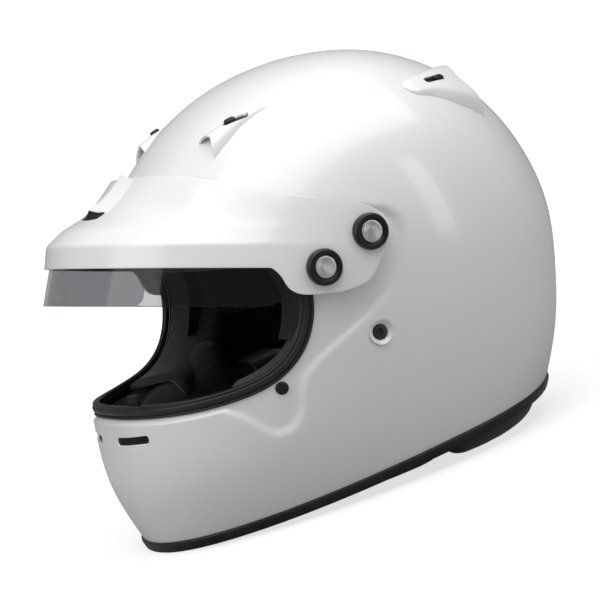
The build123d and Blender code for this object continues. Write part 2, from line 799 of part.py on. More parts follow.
def duct_body(duct):
    """Raised air duct, open at its mouth and slotted on top for its slider."""
    length, half, sense = duct[2], duct[3], duct[6]
    plane = duct_plane(duct)
    wires = []
    for level, (long, wide) in ((-duct_sink, duct_foot_shares), (duct_rise, duct_roof_shares)):
        corners = [
            plane.from_local_coords(Vector(sense * a * length * long, b * half * wide, level))
            for a, b in duct_outline_shares
        ]
        wires.append(Wire.make_polygon(corners))
    along, above = duct_arc(duct)
    start = plane.from_local_coords(Vector(sense * along, -overrun, above))
    body = Solid.make_loft(wires, ruled=True)
    body = body & Solid.make_cylinder(duct_roof_radius, 2 * overrun, Plane(origin=start, z_dir=plane.y_dir))
    top = duct_top(duct)
    wide, back = slider_foot_width + 2 * slider_fit, (slider_travel + slider_foot_length) / 2 + slider_fit
    pocket = Box(length, wide, 2 * overrun, align=(Align.MAX, Align.CENTER, Align.MAX))
    body -= top.location * Location((back, 0, -duct_roof)) * pocket
    body -= extrude(top * SlotOverall(slider_slot_length, slider_slot_width), overrun / 2, both=True)
    body -= shell_form(duct_seat)
    return single(body)


def slider_body(duct):
    """Slider knob in a duct's roof, with a wider foot under it."""
    top = duct_top(duct)
    start = -slider_travel / 2
    knob = SlotOverall(slider_knob_length, slider_slot_width - 2 * slider_fit)
    deep = duct_roof + slider_fit + slider_foot
    stem = extrude(knob, slider_rise + deep)
    foot = extrude(SlotOverall(slider_foot_length, slider_foot_width), slider_foot)
    solid = single(stem + foot)
    return top.location * Location((start, 0, -deep)) * solid


def sided(make, duct, side):
    """A left or right piece on the crown."""
    solid = make(duct)
    return [solid if side > 0 else solid.mirror(Plane.YZ)]


strap_y = strap_share * half_length
strap_z = strap_top_share * shell_height


def hanger_block(spread):
    """Upright block at the strap hanger, through the side wall."""
    block = Box(half_width, 2 * (hanger_half_width + spread), hanger_height + 2 * spread,
                align=(Align.MIN, Align.CENTER, Align.MIN))
    low = strap_z - strap_thickness - spread
    return block.moved(Location((half_width / 2, strap_y, low)))


def strap_hangers():
    """Steel plates inside the shell that carry the chin strap."""
    start = -shell_wall - shank_fit
    plate = walled(hanger_block(0), start, start - hanger_wall)
    hole = side_rod(*anchor, anchor_hole_radius + shank_fit, 0, half_width + overrun)
    return both_sides(single(plate - hole))


def strap_ribbon(points, radii):
    """Flat webbing along points of the front view, with rounded bends."""
    line = FilletPolyline(*[(x, strap_y, z) for x, z in points], radius=radii)
    half = strap_thickness / 2
    profile = Plane(origin=line @ 0, x_dir=(0, 1, 0), z_dir=line % 0) * Rectangle(strap_width, 2 * half)
    return sweep(profile, path=line).solid()


def strap_end():
    """Inner form of the hanger that the webbing's outer end follows."""
    return shell_form(-anchor_depth - liner_gap)


def strap_left():
    """Short strap with the loop that holds the two rings."""
    top = strap_z - strap_thickness / 2
    x = strap_left_x
    ribbon = strap_ribbon([(half_width, top), (x, top), (x, strap_left_low)], strap_bend)
    outer = strap_loop_radius + strap_thickness
    plane = Plane(origin=(x, strap_y - strap_width / 2, strap_left_low - strap_loop_radius), z_dir=(0, 1, 0))
    loop = Solid.make_cylinder(outer, strap_width, plane)
    hole = Solid.make_cylinder(strap_loop_radius, strap_width, plane)
    return [single(((ribbon & strap_end()) + loop) - hole)]


def strap_rings():
    """Two wire rings that hang side by side in the left strap's loop."""
    solids = []
    bar_z = strap_left_low - strap_loop_radius
    for side in (-1, 1):
        origin = (strap_left_x + side * ring_spacing / 2, strap_y, bar_z - ring_height / 2)
        plane = Plane(origin=origin, x_dir=(0, 1, 0), z_dir=(1, 0, 0))
        path = (plane * RectangleRounded(ring_width, ring_height, ring_corner)).wire()
        profile = Plane(origin=path @ 0, z_dir=path % 0) * Circle(ring_wire_radius)
        solids.append(sweep(profile, path=path).solid())
    return solids


def strap_right():
    """Long strap, folded back on itself against the cheek pad."""
    top = strap_z - strap_thickness / 2
    x = -strap_right_x
    back = x + strap_thickness + strap_fold_gap
    bend = (strap_thickness + strap_fold_gap) / 2
    points = [(-half_width, top), (x, top), (x, strap_right_low), (back, strap_right_low), (back, strap_right_end)]
    return [single(strap_ribbon(points, (strap_bend, bend * 0.99, bend * 0.99)) & strap_end())]


def strap_snap():
    """Press stud through both layers of the folded strap."""
    x = -strap_right_x - strap_thickness / 2
    z = strap_right_end - strap_width / 2
    span = 2 * strap_thickness + strap_fold_gap
    solids = []
    for start in (x - snap_height - shank_fit, x + span + shank_fit):
        plane = Plane(origin=(start, strap_y, z), z_dir=(1, 0, 0))
        solids.append(Solid.make_cylinder(snap_radius, snap_height, plane))
    return solids


nodes = {
    "outer_shell": outer_shell,
    "eyeport_seal": eyeport_seal,
    "edge_trim": edge_trim,
    "impact_liner": impact_liner,
    "chin_liner": chin_liner,
    "crown_pad": crown_pad,
    "cheek_pad_left": lambda: cheek_pad(1),
    "cheek_pad_right": lambda: cheek_pad(-1),
    "neck_roll": neck_roll,
    "peak": peak,
    "peak_shade": peak_shade,
    "peak_collars": peak_collars,
    "peak_screws": peak_screws,
    "peak_inserts": peak_inserts,
    "anchor_inserts": anchor_inserts,
    "anchor_screws": anchor_screws,
    "shield_plugs": shield_plugs,
    "chin_vent_screens": chin_vent_screens,
    "chin_vent_shutter": chin_vent_shutter,
    "front_duct_left": lambda: sided(duct_body, front_duct, 1),
    "front_duct_right": lambda: sided(duct_body, front_duct, -1),
    "rear_duct_left": lambda: sided(duct_body, rear_duct, 1),
    "rear_duct_right": lambda: sided(duct_body, rear_duct, -1),
    "front_slider_left": lambda: sided(slider_body, front_duct, 1),
    "front_slider_right": lambda: sided(slider_body, front_duct, -1),
    "rear_slider_left": lambda: sided(slider_body, rear_duct, 1),
    "rear_slider_right": lambda: sided(slider_body, rear_duct, -1),
    "strap_hangers": strap_hangers,
    "strap_left": strap_left,
    "strap_rings": strap_rings,
    "strap_right": strap_right,
    "strap_snap": strap_snap,
}

os.makedirs("parts", exist_ok=True)
for name, make in nodes.items():
    solids = make()
    shape = solids[0] if len(solids) == 1 else Compound(children=solids)
    export_step(shape, f"parts/{name}.step")
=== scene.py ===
"""Full-face car racing helmet: its lacquered surfaces, rubber, linings and studio.

Every surface is worked out in millimetres in the helmet's own frame: +Z up, the face looks
along -Y, and the wearer's left is +X. Meshes are written in metres.
"""

import bmesh
import bpy
import numpy as np
from mathutils import Matrix, Vector


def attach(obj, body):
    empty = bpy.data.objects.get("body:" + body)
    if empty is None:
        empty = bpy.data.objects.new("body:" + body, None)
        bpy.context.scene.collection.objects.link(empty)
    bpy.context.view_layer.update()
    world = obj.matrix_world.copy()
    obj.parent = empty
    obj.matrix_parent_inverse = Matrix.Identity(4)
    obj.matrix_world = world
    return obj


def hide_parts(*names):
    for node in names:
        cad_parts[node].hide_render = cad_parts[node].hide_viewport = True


bl_info = {
    "name": "Racing Helmet",
    "version": (1, 0, 0),
    "blender": (4, 5, 0),
    "location": "View3D > Sidebar > Helmet",
    "description": "Builds a full-face car racing helmet with a tilting peak",
    "category": "Object",
}

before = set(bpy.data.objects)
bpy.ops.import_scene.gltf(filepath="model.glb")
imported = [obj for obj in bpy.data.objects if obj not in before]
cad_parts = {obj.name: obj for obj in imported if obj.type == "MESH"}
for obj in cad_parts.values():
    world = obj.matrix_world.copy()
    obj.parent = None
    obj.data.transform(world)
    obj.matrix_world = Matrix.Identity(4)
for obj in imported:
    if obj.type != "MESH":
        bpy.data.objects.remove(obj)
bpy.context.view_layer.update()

# Shell form in mm; soft pieces stay SOFT_DEPTH or more under its skin

HALF_LENGTH, HEIGHT = 152.0, 249.0
HALF_WIDTH, FRONT_REACH, REAR_REACH, CROWN_Y = 127.5, 173.0, 127.0, 25.0
RECESS_DEPTH, LEDGE_WIDTH, LEDGE_SLOPE = 2.5, 6.5, 2.2
RIM_FRONT, RIM_RISE = 1.0, 0.058
PITCH = np.radians(20.0)
SKIN_CORE, SOFT_DEPTH = np.array([0, 0, 100.0]), -6.6
# Side view places of the peak's screws, the rear one first, where it hinges
SCREWS = ((-1.22, 148.28), (-33.21, 138.44))

# Stations from the crown down: share of the height, then width, front reach, rear reach, corner power
STATIONS = np.array([
    (1.000, 0.000, 0.000, 0.000, 2.20),
    (0.964, 0.467, 0.289, 0.397, 2.20),
    (0.851, 0.797, 0.560, 0.728, 2.25),
    (0.723, 0.940, 0.739, 0.902, 2.30),
    (0.602, 0.993, 0.855, 0.980, 2.35),
    (0.462, 1.000, 0.942, 1.000, 2.40),
    (0.321, 0.966, 0.980, 0.951, 2.35),
    (0.161, 0.889, 1.000, 0.835, 2.35),
    (0.000, 0.782, 0.955, 0.665, 2.10),
])

# Side view outlines, in mm: the edge of the face opening and of the step round it
EYEPORT = np.array([
    (-155.0, 91.1), (-127.7, 86.2), (-95.8, 84.9), (-77.5, 87.6), (-60.0, 97.6),
    (-48.3, 115.8), (-45.1, 134.5), (-50.2, 149.4), (-65.4, 157.4),
])
EYEPORT_BROW = np.array([(-197.6, 210.4), (-197.6, 91.1)])
RECESS = np.array([
    (-109.4, 82.2), (-95.8, 71.7), (-87.4, 62.2), (-80.6, 56.3), (-72.2, 56.8),
    (-65.4, 65.2), (-60.5, 80.2), (-49.4, 88.9), (-29.5, 97.6), (-6.4, 108.3),
    (8.2, 121.5), (16.7, 133.0), (20.2, 144.4), (19.0, 150.6), (13.1, 157.1),
])
RECESS_TOP = np.array([(-197.6, 234.1), (-197.6, 104.6)])


def even_curve(places, values):
    """Cubic curve through a table whose slope and curvature run on without a break.

    Its second slopes m solve, for steps h: h0*m0 + 2*(h0+h1)*m1 + h1*m2 = 6*(rise1/h1 - rise0/h0),
    with none at the ends. Between two places the value is the usual cubic of both values and both m.
    """
    places, values = np.asarray(places, float), np.asarray(values, float)
    n, h = len(places), np.diff(places)
    rows, right = np.eye(n), np.zeros(n)
    for k in range(1, n - 1):
        rows[k, k - 1:k + 2] = h[k - 1], 2 * (h[k - 1] + h[k]), h[k]
        right[k] = 6 * ((values[k + 1] - values[k]) / h[k] - (values[k] - values[k - 1]) / h[k - 1])
    bend = np.linalg.solve(rows, right)

    def at(x):
        k = np.clip(np.searchsorted(places, x) - 1, 0, n - 2)
        a, b = (places[k + 1] - x) / h[k], (x - places[k]) / h[k]
        cubic = ((a ** 3 - a) * bend[k] + (b ** 3 - b) * bend[k + 1]) * h[k] ** 2 / 6
        return a * values[k] + b * values[k + 1] + cubic

    return at


PLACES = np.sqrt(1 - STATIONS[:, 0])
wide_at, front_at, rear_at, power_at = (even_curve(PLACES, STATIONS[:, c]) for c in (1, 2, 3, 4))


def level_sizes(q, grow):
    """Half width, front reach, rear reach and power of the level curve at place q below the crown."""
    return ((HALF_WIDTH + grow) * wide_at(q), (FRONT_REACH + grow) * front_at(q),
            (REAR_REACH + grow) * rear_at(q), power_at(q))


def skin(q, turn, grow=0.0):
    """Shell surface: height is H*(1 - q*q), and the level curve is a superellipse of power n.

    At a turn t from the front its far share is (|sin t|^n + |cos t|^n)^(-1/n); x is the half width times
    far times sin t, and y is the crown's y less the front or rear reach times far times cos t.
    """
    wide, front, rear, n = level_sizes(q, grow)
    s, c = np.sin(turn), np.cos(turn)
    far = (np.abs(s) ** n + np.abs(c) ** n) ** (-1 / n)
    reach = np.where(c > 0, front, rear)
    z = (HEIGHT + grow) * (1 - q * q)
    return np.stack(np.broadcast_arrays(wide * far * s, CROWN_Y - reach * far * c, z), -1)


def skin_normal(q, turn, grow=0.0):
    """Unit normal of the shell surface, from the cross product of its two slopes."""
    e = 1e-4
    q = np.maximum(q, 2 * e)
    a = skin(q + e, turn, grow) - skin(q - e, turn, grow)
    b = skin(q, turn + e, grow) - skin(q, turn - e, grow)
    n = np.cross(a, b)
    return n / np.linalg.norm(n, axis=-1, keepdims=True)


def skin_side(y, z, grow=0.0):
    """Half width of the shell at points of the side view."""
    wide, front, rear, n = level_sizes(np.sqrt(np.clip(1 - z / (HEIGHT + grow), 0, None)), grow)
    share = np.abs(y - CROWN_Y) / np.where(y < CROWN_Y, front, rear)
    return wide * np.clip(1 - share ** n, 0, None) ** (1 / n)


def level_round(points, grow):
    """Place below the crown at the points' heights, with the level curve's half width, reach and power."""
    q = np.sqrt(np.clip(1 - points[..., 2] / (HEIGHT + grow), 1e-9, None))
    wide, front, rear, n = level_sizes(q, grow)
    return q, wide, np.where(points[..., 1] < CROWN_Y, front, rear), n


def skin_measure(points, grow=0.0):
    """Under 1 in the shell, over 1 outside: (x/wide)^n + ((y - crown y)/reach)^n at the point's height."""
    _, wide, reach, n = level_round(points, grow)
    inside = (np.abs(points[..., 0]) / wide) ** n + (np.abs(points[..., 1] - CROWN_Y) / reach) ** n
    return np.where(points[..., 2] < HEIGHT + grow, inside, 9.0)


def halved(shape, low, high, point_at, grow, steps):
    """Both ends of a range narrowed by halving; the point at the low end stays inside the shell."""
    low, high = np.full(shape, low), np.full(shape, high)
    for _ in range(steps):
        mid = (low + high) / 2
        inside = skin_measure(point_at(mid), grow) < 1
        low, high = np.where(inside, mid, low), np.where(inside, high, mid)
    return low, high


def skin_params(points, grow=0.0):
    """Place and turn of the shell surface under points, along rays from inside."""
    ray = np.asarray(points, float) - SKIN_CORE
    low, _ = halved(ray.shape[:-1], 0.0, 3.0, lambda far: SKIN_CORE + ray * far[..., None], grow, 40)
    p = SKIN_CORE + ray * low[..., None]
    q, wide, reach, _ = level_round(p, grow)
    return q, np.arctan2(p[..., 0] / wide, (CROWN_Y - p[..., 1]) / reach)


def skin_along(start, direction, reach):
    """How far points lie inside the shell along a direction, between -reach and reach."""
    return halved(start.shape[:-1], -reach, reach, lambda far: start + far[..., None] * direction, 0.0, 30)[0]


def drawn_in(points, core):
    """Points nearer to the skin than soft pieces may lie, drawn towards a core until they are deep enough."""
    core = np.asarray(core, float)
    _, high = halved(points.shape[:-1], 0.0, 1.0, lambda share: core + (points - core) * share[..., None],
                     SOFT_DEPTH, 26)
    return core + (points - core) * high[..., None]


def worn(points, sense=1):
    """Points turned into the frame in which the helmet is worn, pitched forward by 20 degrees."""
    x, y, z = np.moveaxis(points, -1, 0)
    s, c = sense * np.sin(PITCH), np.cos(PITCH)
    return np.stack((x, y * c - z * s, y * s + z * c), -1)


def unworn(points):
    """Points of the worn frame turned back onto the table."""
    return worn(points, -1)


# Outlines

def run_of(line):
    """Length along a line at each of its points."""
    return np.r_[0, np.cumsum(np.linalg.norm(np.diff(line, axis=0), axis=1))]


def line_at(line, at):
    """Points of a line of straight runs, at lengths along it."""
    return np.stack([np.interp(at, run_of(line), values) for values in line.T], -1)


def smooth_line(points, count):
    """Even points along a smooth curve through an open line, run on its length along the chords."""
    points = np.asarray(points, float)
    run = run_of(points)
    at = np.linspace(0, run[-1], count)
    return np.stack([even_curve(run, values)(at) for values in points.T], -1)


def outline_distance(points, outline):
    """Distance of points of a plane to a closed outline, under zero inside it."""
    flat = points.reshape(-1, 2)
    a, b = outline, np.roll(outline, -1, axis=0)
    best = np.full(len(flat), 1e9)
    inside = np.zeros(len(flat), bool)
    for p, r in zip(a, b):
        d = r - p
        t = np.clip(((flat - p) @ d) / (d @ d + 1e-12), 0, 1)
        best = np.minimum(best, np.hypot(*(flat - p - t[:, None] * d).T))
        crosses = (p[1] > flat[:, 1]) != (r[1] > flat[:, 1])
        x = p[0] + (flat[:, 1] - p[1]) * d[0] / (d[1] if abs(d[1]) > 1e-9 else 1e-9)
        inside ^= crosses & (flat[:, 0] < x)
    return np.where(inside, -best, best).reshape(points.shape[:-1])


EYEPORT_LINE = smooth_line(EYEPORT, 90)
EYEPORT_OUTLINE = np.vstack((EYEPORT_LINE, EYEPORT_BROW))
RECESS_OUTLINE = np.vstack((smooth_line(RECESS, 90), RECESS_TOP))


def ease(x):
    """Rise from 0 to 1 with level ends: 3x^2 - 2x^3."""
    x = np.clip(x, 0, 1)
    return x * x * (3 - 2 * x)


# Meshes

def new_piece(name, points, faces, smooth=True):
    """Mesh object from points in mm and lists of faces."""
    mesh = bpy.data.meshes.new(name)
    mesh.from_pydata((np.asarray(points, float) * 0.001).tolist(), [], faces)
    mesh.validate()
    if smooth:
        mesh.shade_smooth()
    mesh.update()
    piece = bpy.data.objects.new(name, mesh)
    bpy.context.scene.collection.objects.link(piece)
    return piece


def grid_faces(rows, columns, wrap_rows=False, wrap_columns=False, start=0):
    """Four-cornered faces of a grid of points written row by row."""
    i, j = np.meshgrid(np.arange(rows - (not wrap_rows)), np.arange(columns - (not wrap_columns)),
                       indexing="ij")
    k, m = (i + 1) % rows, (j + 1) % columns
    quads = np.stack((i * columns + j, i * columns + m, k * columns + m, k * columns + j), -1)
    return (quads.reshape(-1, 4) + start).tolist()


def outward(piece):
    """Turns the faces of a closed piece outwards."""
    bm = bmesh.new()
    bm.from_mesh(piece.data)
    bmesh.ops.remove_doubles(bm, verts=bm.verts, dist=1e-6)
    bmesh.ops.recalc_face_normals(bm, faces=bm.faces)
    bm.to_mesh(piece.data)
    bm.free()
    return piece


def upright(piece, outwards):
    """Turns an open piece over where its faces look against a direction on the whole."""
    mesh = piece.data
    normals = np.empty(len(mesh.polygons) * 3)
    mesh.polygons.foreach_get("normal", normals)
    if normals.reshape(-1, 3).sum(0) @ np.asarray(outwards, float) < 0:
        mesh.flip_normals()
    return piece


def trimmed_grid(surface, rows, columns, fields, wrap):
    """Grid of a surface, cut cleanly along the lines where fields are zero; what lies under zero goes.

    Each grid point within half a step of a line slides onto it, by minus the field times its slope over
    the slope squared. A face then has no edge that crosses a line, and a mixed face is split along the
    diagonal that lies on it.
    """
    m, n = len(rows), len(columns)
    i, j = np.meshgrid(np.arange(m, dtype=float), np.arange(n, dtype=float), indexing="ij")
    index = np.arange(-1, n + 1 if wrap else n)
    ring = np.r_[columns[-1] - 2 * np.pi, columns, columns[0] + 2 * np.pi] if wrap \
        else np.r_[columns[0], columns]

    def place(i, j):
        return surface(np.interp(i, np.arange(m), rows), np.interp(j, index, ring[:len(index)]))

    keep = np.ones((m, n), np.int8)
    for field in fields:
        d = field(place(i, j))
        if wrap:
            padded = np.concatenate((d[:, -1:], d, d[:, :1]), 1)
            gj = (padded[:, 2:] - padded[:, :-2]) / 2
        else:
            gj = np.gradient(d, axis=1)
        gi = np.gradient(d, axis=0)
        near = np.abs(d) <= 0.52 * np.maximum(np.abs(gi), np.abs(gj))
        square = gi * gi + gj * gj + 1e-12
        for _ in range(4):
            i = np.where(near, np.clip(i - d * gi / square, 0, m - 1), i)
            j = np.where(near, j - d * gj / square, j)
            d = np.where(near, field(place(i, j)), d)
        state = np.where(near, 0, np.sign(d)).astype(np.int8)
        keep = np.where((keep > 0) & (state != 0), state, np.where(keep > 0, 0, keep))
    points = place(i, j)
    a, b = np.arange(m - 1), np.arange(n if wrap else n - 1)
    a, b = np.meshgrid(a, b, indexing="ij")
    c = (b + 1) % n
    quads = np.stack((a * n + b, (a + 1) * n + b, (a + 1) * n + c, a * n + c), -1).reshape(-1, 4)
    marks = keep.ravel()[quads]
    flat = points.reshape(-1, 3)

    def clear(corners):
        middle = flat[corners].mean(1)
        good = np.ones(len(corners), bool)
        for field in fields:
            good &= field(middle) > 0
        return good

    whole = (marks >= 0).all(1)
    whole[whole] = clear(quads[whole])
    mixed = ~whole & (marks > 0).any(1) & (marks < 0).any(1)
    cut = quads[mixed]
    first = np.vstack((cut[:, [0, 1, 2]], cut[:, [0, 2, 3]]))
    second = np.vstack((cut[:, [0, 1, 3]], cut[:, [1, 2, 3]]))
    on = (marks[mixed][:, 0] == 0) & (marks[mixed][:, 2] == 0)
    on = np.r_[on, on]
    tris = np.where(on[:, None], first, second)
    tris = tris[(keep.ravel()[tris] >= 0).all(1)]
    tris = tris[clear(tris)] if len(tris) else tris
    used = np.unique(np.r_[quads[whole].ravel(), tris.ravel()])
    renumber = np.full(m * n, -1)
    renumber[used] = np.arange(len(used))
    return flat[used], renumber[quads[whole]].tolist() + renumber[tris].tolist(), i.ravel()[used]


def rim_edges(faces):
    """Edges that one face alone has, as pairs of point numbers in the order in which it runs."""
    loops = np.concatenate([np.array(f + [f[0]])[[[a, a + 1] for a in range(len(f))]] for f in faces])
    _, first, count = np.unique(np.sort(loops, 1), axis=0, return_index=True, return_counts=True)
    return loops[first[count == 1]]


def stuffed(name, points, faces, normals, thick):
    """Closed cushion from an open sheet: both sides stand off it by half of each point's thickness."""
    a, b = rim_edges(faces).T
    n, half = len(points), normals * thick[:, None] / 2
    sides = np.stack((b, a, a + n, b + n), -1).tolist()
    return outward(new_piece(name, np.vstack((points + half, points - half)),
                             faces + [[k + n for k in f[::-1]] for f in faces] + sides))


def mesh_points(mesh):
    """Places of a mesh's points in metres, a row each."""
    co = np.empty(len(mesh.vertices) * 3)
    mesh.vertices.foreach_get("co", co)
    return co.reshape(-1, 3)


def rounded(piece):
    """Rounds a soft piece by one subdivision."""
    soft = piece.modifiers.new("round", "SUBSURF")
    soft.levels = soft.render_levels = 1
    return piece


def walled(piece, thick, bevel, angle=50, offset=-1.0):
    """Gives a sheet a wall, and its edges over an angle a small bevel; both widths in mm."""
    wall = piece.modifiers.new("wall", "SOLIDIFY")
    wall.thickness, wall.offset = thick * 0.001, offset
    if bevel:
        edge = piece.modifiers.new("edge", "BEVEL")
        edge.width, edge.segments = bevel * 0.001, 2
        edge.limit_method, edge.angle_limit = "ANGLE", np.radians(angle)
    return piece


VOXEL, PRESSURE, PUFF_FRAMES, OFF_FLOOR = 4.5, 4.0, 20, 0.3


def puffed(piece, cap, core):
    """Cloth under pressure: the piece is remeshed and blown up, no point further than a cap in mm."""
    scene = bpy.context.scene
    def settled():
        graph = bpy.context.evaluated_depsgraph_get()
        return bpy.data.meshes.new_from_object(piece.evaluated_get(graph))

    even = piece.modifiers.new("even", "REMESH")
    even.mode, even.voxel_size = "VOXEL", VOXEL * 0.001
    mesh = settled()
    piece.modifiers.clear()
    piece.data = mesh
    start = mesh_points(mesh)
    cloth = piece.modifiers.new("cloth", "CLOTH")
    cloth.settings.use_pressure, cloth.settings.uniform_pressure_force = True, PRESSURE
    cloth.settings.effector_weights.gravity = 0.0
    cloth.point_cache.frame_start, cloth.point_cache.frame_end = 1, PUFF_FRAMES
    for number in range(1, PUFF_FRAMES + 1):
        scene.frame_set(number)
    move = (mesh_points(settled()) - start) * 1000
    piece.modifiers.clear()
    scene.frame_set(1)
    far = np.linalg.norm(move, axis=1, keepdims=True)
    end = drawn_in(start * 1000 + move * np.minimum(1, cap / np.maximum(far, 1e-9)), core)
    end[:, 2] = np.maximum(end[:, 2], OFF_FLOOR)
    mesh.vertices.foreach_set("co", (end * 0.001).ravel())
    mesh.shade_smooth()
    mesh.update()
    return rounded(piece)


def lathe(name, profile, centre, axis, count=72):
    """Profile of (radius, height) turned round an axis through a centre; closed at radius zero."""
    axis = np.asarray(axis, float) / np.linalg.norm(axis)
    side = np.cross(axis, (0.0, 0.31, 1.0))
    side /= np.linalg.norm(side)
    up = np.cross(axis, side)
    profile = np.asarray(profile, float)
    t = np.arange(count) * 2 * np.pi / count
    ring = np.cos(t)[:, None] * side + np.sin(t)[:, None] * up
    points = np.asarray(centre, float) + profile[:, None, :1] * ring[None] + profile[:, None, 1:] * axis
    faces = grid_faces(len(profile), count, wrap_columns=True)
    piece = outward(new_piece(name, points.reshape(-1, 3), faces))
    mesh = piece.data
    corners = np.empty(len(mesh.loops), np.int32)
    mesh.loops.foreach_get("vertex_index", corners)
    flat = mesh_points(mesh)[corners] * 1000 - centre
    turn = np.arctan2(flat @ up, flat @ side) / (2 * np.pi)
    # Corners of a face that lies over the join keep to one end of the map.
    starts = np.repeat(np.arange(len(mesh.polygons)), [f.loop_total for f in mesh.polygons])
    high = np.zeros(len(mesh.polygons))
    np.maximum.at(high, starts, turn)
    turn = np.where(high[starts] - turn > 0.5, turn + 1, turn)
    around = mesh.uv_layers.new(name="around")
    around.uv.foreach_set("vector", np.column_stack((turn, np.hypot(flat @ up, flat @ side) / 50)).ravel())
    return piece


def round_profile(points, radius, steps=4):
    """Closed or open profile with each inner corner rounded by a small arc of even chords."""
    points = np.asarray(points, float)
    out = [points[0]]
    for a, b, c in zip(points, points[1:], points[2:]):
        back, on = (a - b), (c - b)
        r = min(radius, 0.45 * np.linalg.norm(back), 0.45 * np.linalg.norm(on))
        p, s = b + back / np.linalg.norm(back) * r, b + on / np.linalg.norm(on) * r
        t = np.linspace(0, 1, steps)[:, None]
        out.extend((1 - t) ** 2 * p + 2 * t * (1 - t) * b + t * t * s)
    out.append(points[-1])
    return np.array(out)


def carried(name, path, normals, profile, closed=True):
    """Closed profile carried along a path: each point is path + u*across + v*normal.

    Across is the cross product of the path's direction and the surface normal.
    """
    if closed:
        ahead = np.roll(path, -1, 0) - np.roll(path, 1, 0)
    else:
        ahead = np.gradient(path, axis=0)
    ahead /= np.linalg.norm(ahead, axis=1, keepdims=True)
    across = np.cross(ahead, normals)
    across /= np.linalg.norm(across, axis=1, keepdims=True)
    u, v = np.asarray(profile, float).T
    points = path[:, None] + u[None, :, None] * across[:, None] + v[None, :, None] * normals[:, None]
    n, m = len(path), len(profile)
    faces = grid_faces(n, m, wrap_rows=closed, wrap_columns=True)
    if not closed:
        faces += [list(range(m))[::-1], list(range((n - 1) * m, n * m))]
    return outward(new_piece(name, points.reshape(-1, 3), faces))


# Finishes

def filled(node, values):
    """Puts plain values on a node's own sockets, by their names."""
    for key, value in values.items():
        node.inputs[key.replace("_", " ")].default_value = value
    return node


def finish(name, colour, rough, **sockets):
    """Principled finish; returns the material, its tree of nodes and the shader."""
    material = bpy.data.materials.new(name)
    material.use_nodes = True
    shader = filled(material.node_tree.nodes["Principled BSDF"], sockets)
    shader.inputs["Base Color"].default_value = (*colour, 1)
    shader.inputs["Roughness"].default_value = rough
    return material, material.node_tree, shader


def added(tree, kind, **sockets):
    """New shader node in a tree."""
    return filled(tree.nodes.new("ShaderNode" + kind), sockets)


def object_place(tree):
    """The piece's own coordinates, in metres."""
    return added(tree, "TexCoord").outputs["Object"]


def noise(tree, scale, detail, stretch=(1, 1, 1)):
    """Noise over the piece's own coordinates, stretched along its axes."""
    spread = added(tree, "Mapping", Scale=stretch)
    texture = added(tree, "TexNoise", Scale=scale, Detail=detail)
    tree.links.new(object_place(tree), spread.inputs["Vector"])
    tree.links.new(spread.outputs["Vector"], texture.inputs["Vector"])
    return texture.outputs["Fac"]


def reckoned(tree, operation, first, second):
    """Product, larger or the like of two values."""
    node = added(tree, "Math")
    node.operation = operation
    tree.links.new(first, node.inputs[0])
    tree.links.new(second, node.inputs[1])
    return node.outputs["Value"]


def length_of(tree, vector):
    """Length of a vector."""
    node = added(tree, "VectorMath")
    node.operation = "LENGTH"
    tree.links.new(vector, node.inputs[0])
    return node.outputs["Value"]


def between(tree, source, low, high, start=0.0, end=1.0):
    """Maps a value from one range to another, held at the ends."""
    span = added(tree, "MapRange", From_Min=start, From_Max=end, To_Min=low, To_Max=high)
    tree.links.new(source, span.inputs["Value"])
    return span.outputs["Result"]


def tinted(tree, shader, source, dark, light, start=0.35, end=0.65):
    """Gives a shader a colour that runs between two tones with a value."""
    ramp = added(tree, "ValToRGB")
    for stop, place, tone in zip(ramp.color_ramp.elements, (start, end), (dark, light)):
        stop.position, stop.color = place, (*tone, 1)
    tree.links.new(source, ramp.inputs["Fac"])
    tree.links.new(ramp.outputs["Color"], shader.inputs["Base Color"])


def scuffed(tree, shader, source, low, high):
    """Gives a shader a roughness that follows the middle part of a noise."""
    tree.links.new(between(tree, source, low, high, 0.3, 0.7), shader.inputs["Roughness"])


def bumped(tree, shader, source, distance, strength=1.0):
    """Bump of a real depth in metres on a shader's normal."""
    bump = added(tree, "Bump", Strength=strength, Distance=distance)
    tree.links.new(source, bump.inputs["Height"])
    tree.links.new(bump.outputs["Normal"], shader.inputs["Normal"])


def lacquer(name, tone=(0.80, 0.805, 0.81)):
    """White gloss lacquer: a faint cloudiness in the tone, fine orange peel and a clear coat."""
    material, tree, shader = finish(name, tone, 0.3, Coat_Weight=0.55, Coat_Roughness=0.09, IOR=1.5)
    tinted(tree, shader, noise(tree, 14.0, 4.0), [c * 0.992 for c in tone], tone)
    scuffed(tree, shader, noise(tree, 30.0, 1.0), 0.29, 0.32)
    bumped(tree, shader, noise(tree, 420.0, 2.0), 0.000008, 0.3)
    return material


def rubber(name, tone, rough, grain=2600.0):
    """Moulded rubber: a dusty satin skin with a fine grain."""
    material, tree, shader = finish(name, tone, rough, Specular_IOR_Level=0.32)
    dust = noise(tree, 60.0, 6.0)
    tinted(tree, shader, dust, tone, [c * 1.5 + 0.002 for c in tone])
    scuffed(tree, shader, dust, rough - 0.06, rough + 0.12)
    bumped(tree, shader, noise(tree, grain, 2.0), 0.00005, 0.6)
    return material


def woven(name, dark, light, pitch, depth):
    """Plain weave: the height is the product of three waves, one along each axis."""
    material, tree, shader = finish(name, light, 0.85, Sheen_Weight=0.35, Sheen_Roughness=0.5)
    where, waves = object_place(tree), []
    for axis in "XYZ":
        wave = added(tree, "TexWave", Scale=0.314 / pitch, Distortion=0.6, Detail_Scale=2.0)
        wave.bands_direction = axis
        tree.links.new(where, wave.inputs["Vector"])
        waves.append(wave.outputs["Fac"])
    top = reckoned(tree, "MULTIPLY", reckoned(tree, "MULTIPLY", *waves[:2]), waves[2])
    # Painted shade: the cloth is darker where the weave is dented.
    tinted(tree, shader, top, light, dark, 0.05, 0.5)
    bumped(tree, shader, top, -depth)
    return material


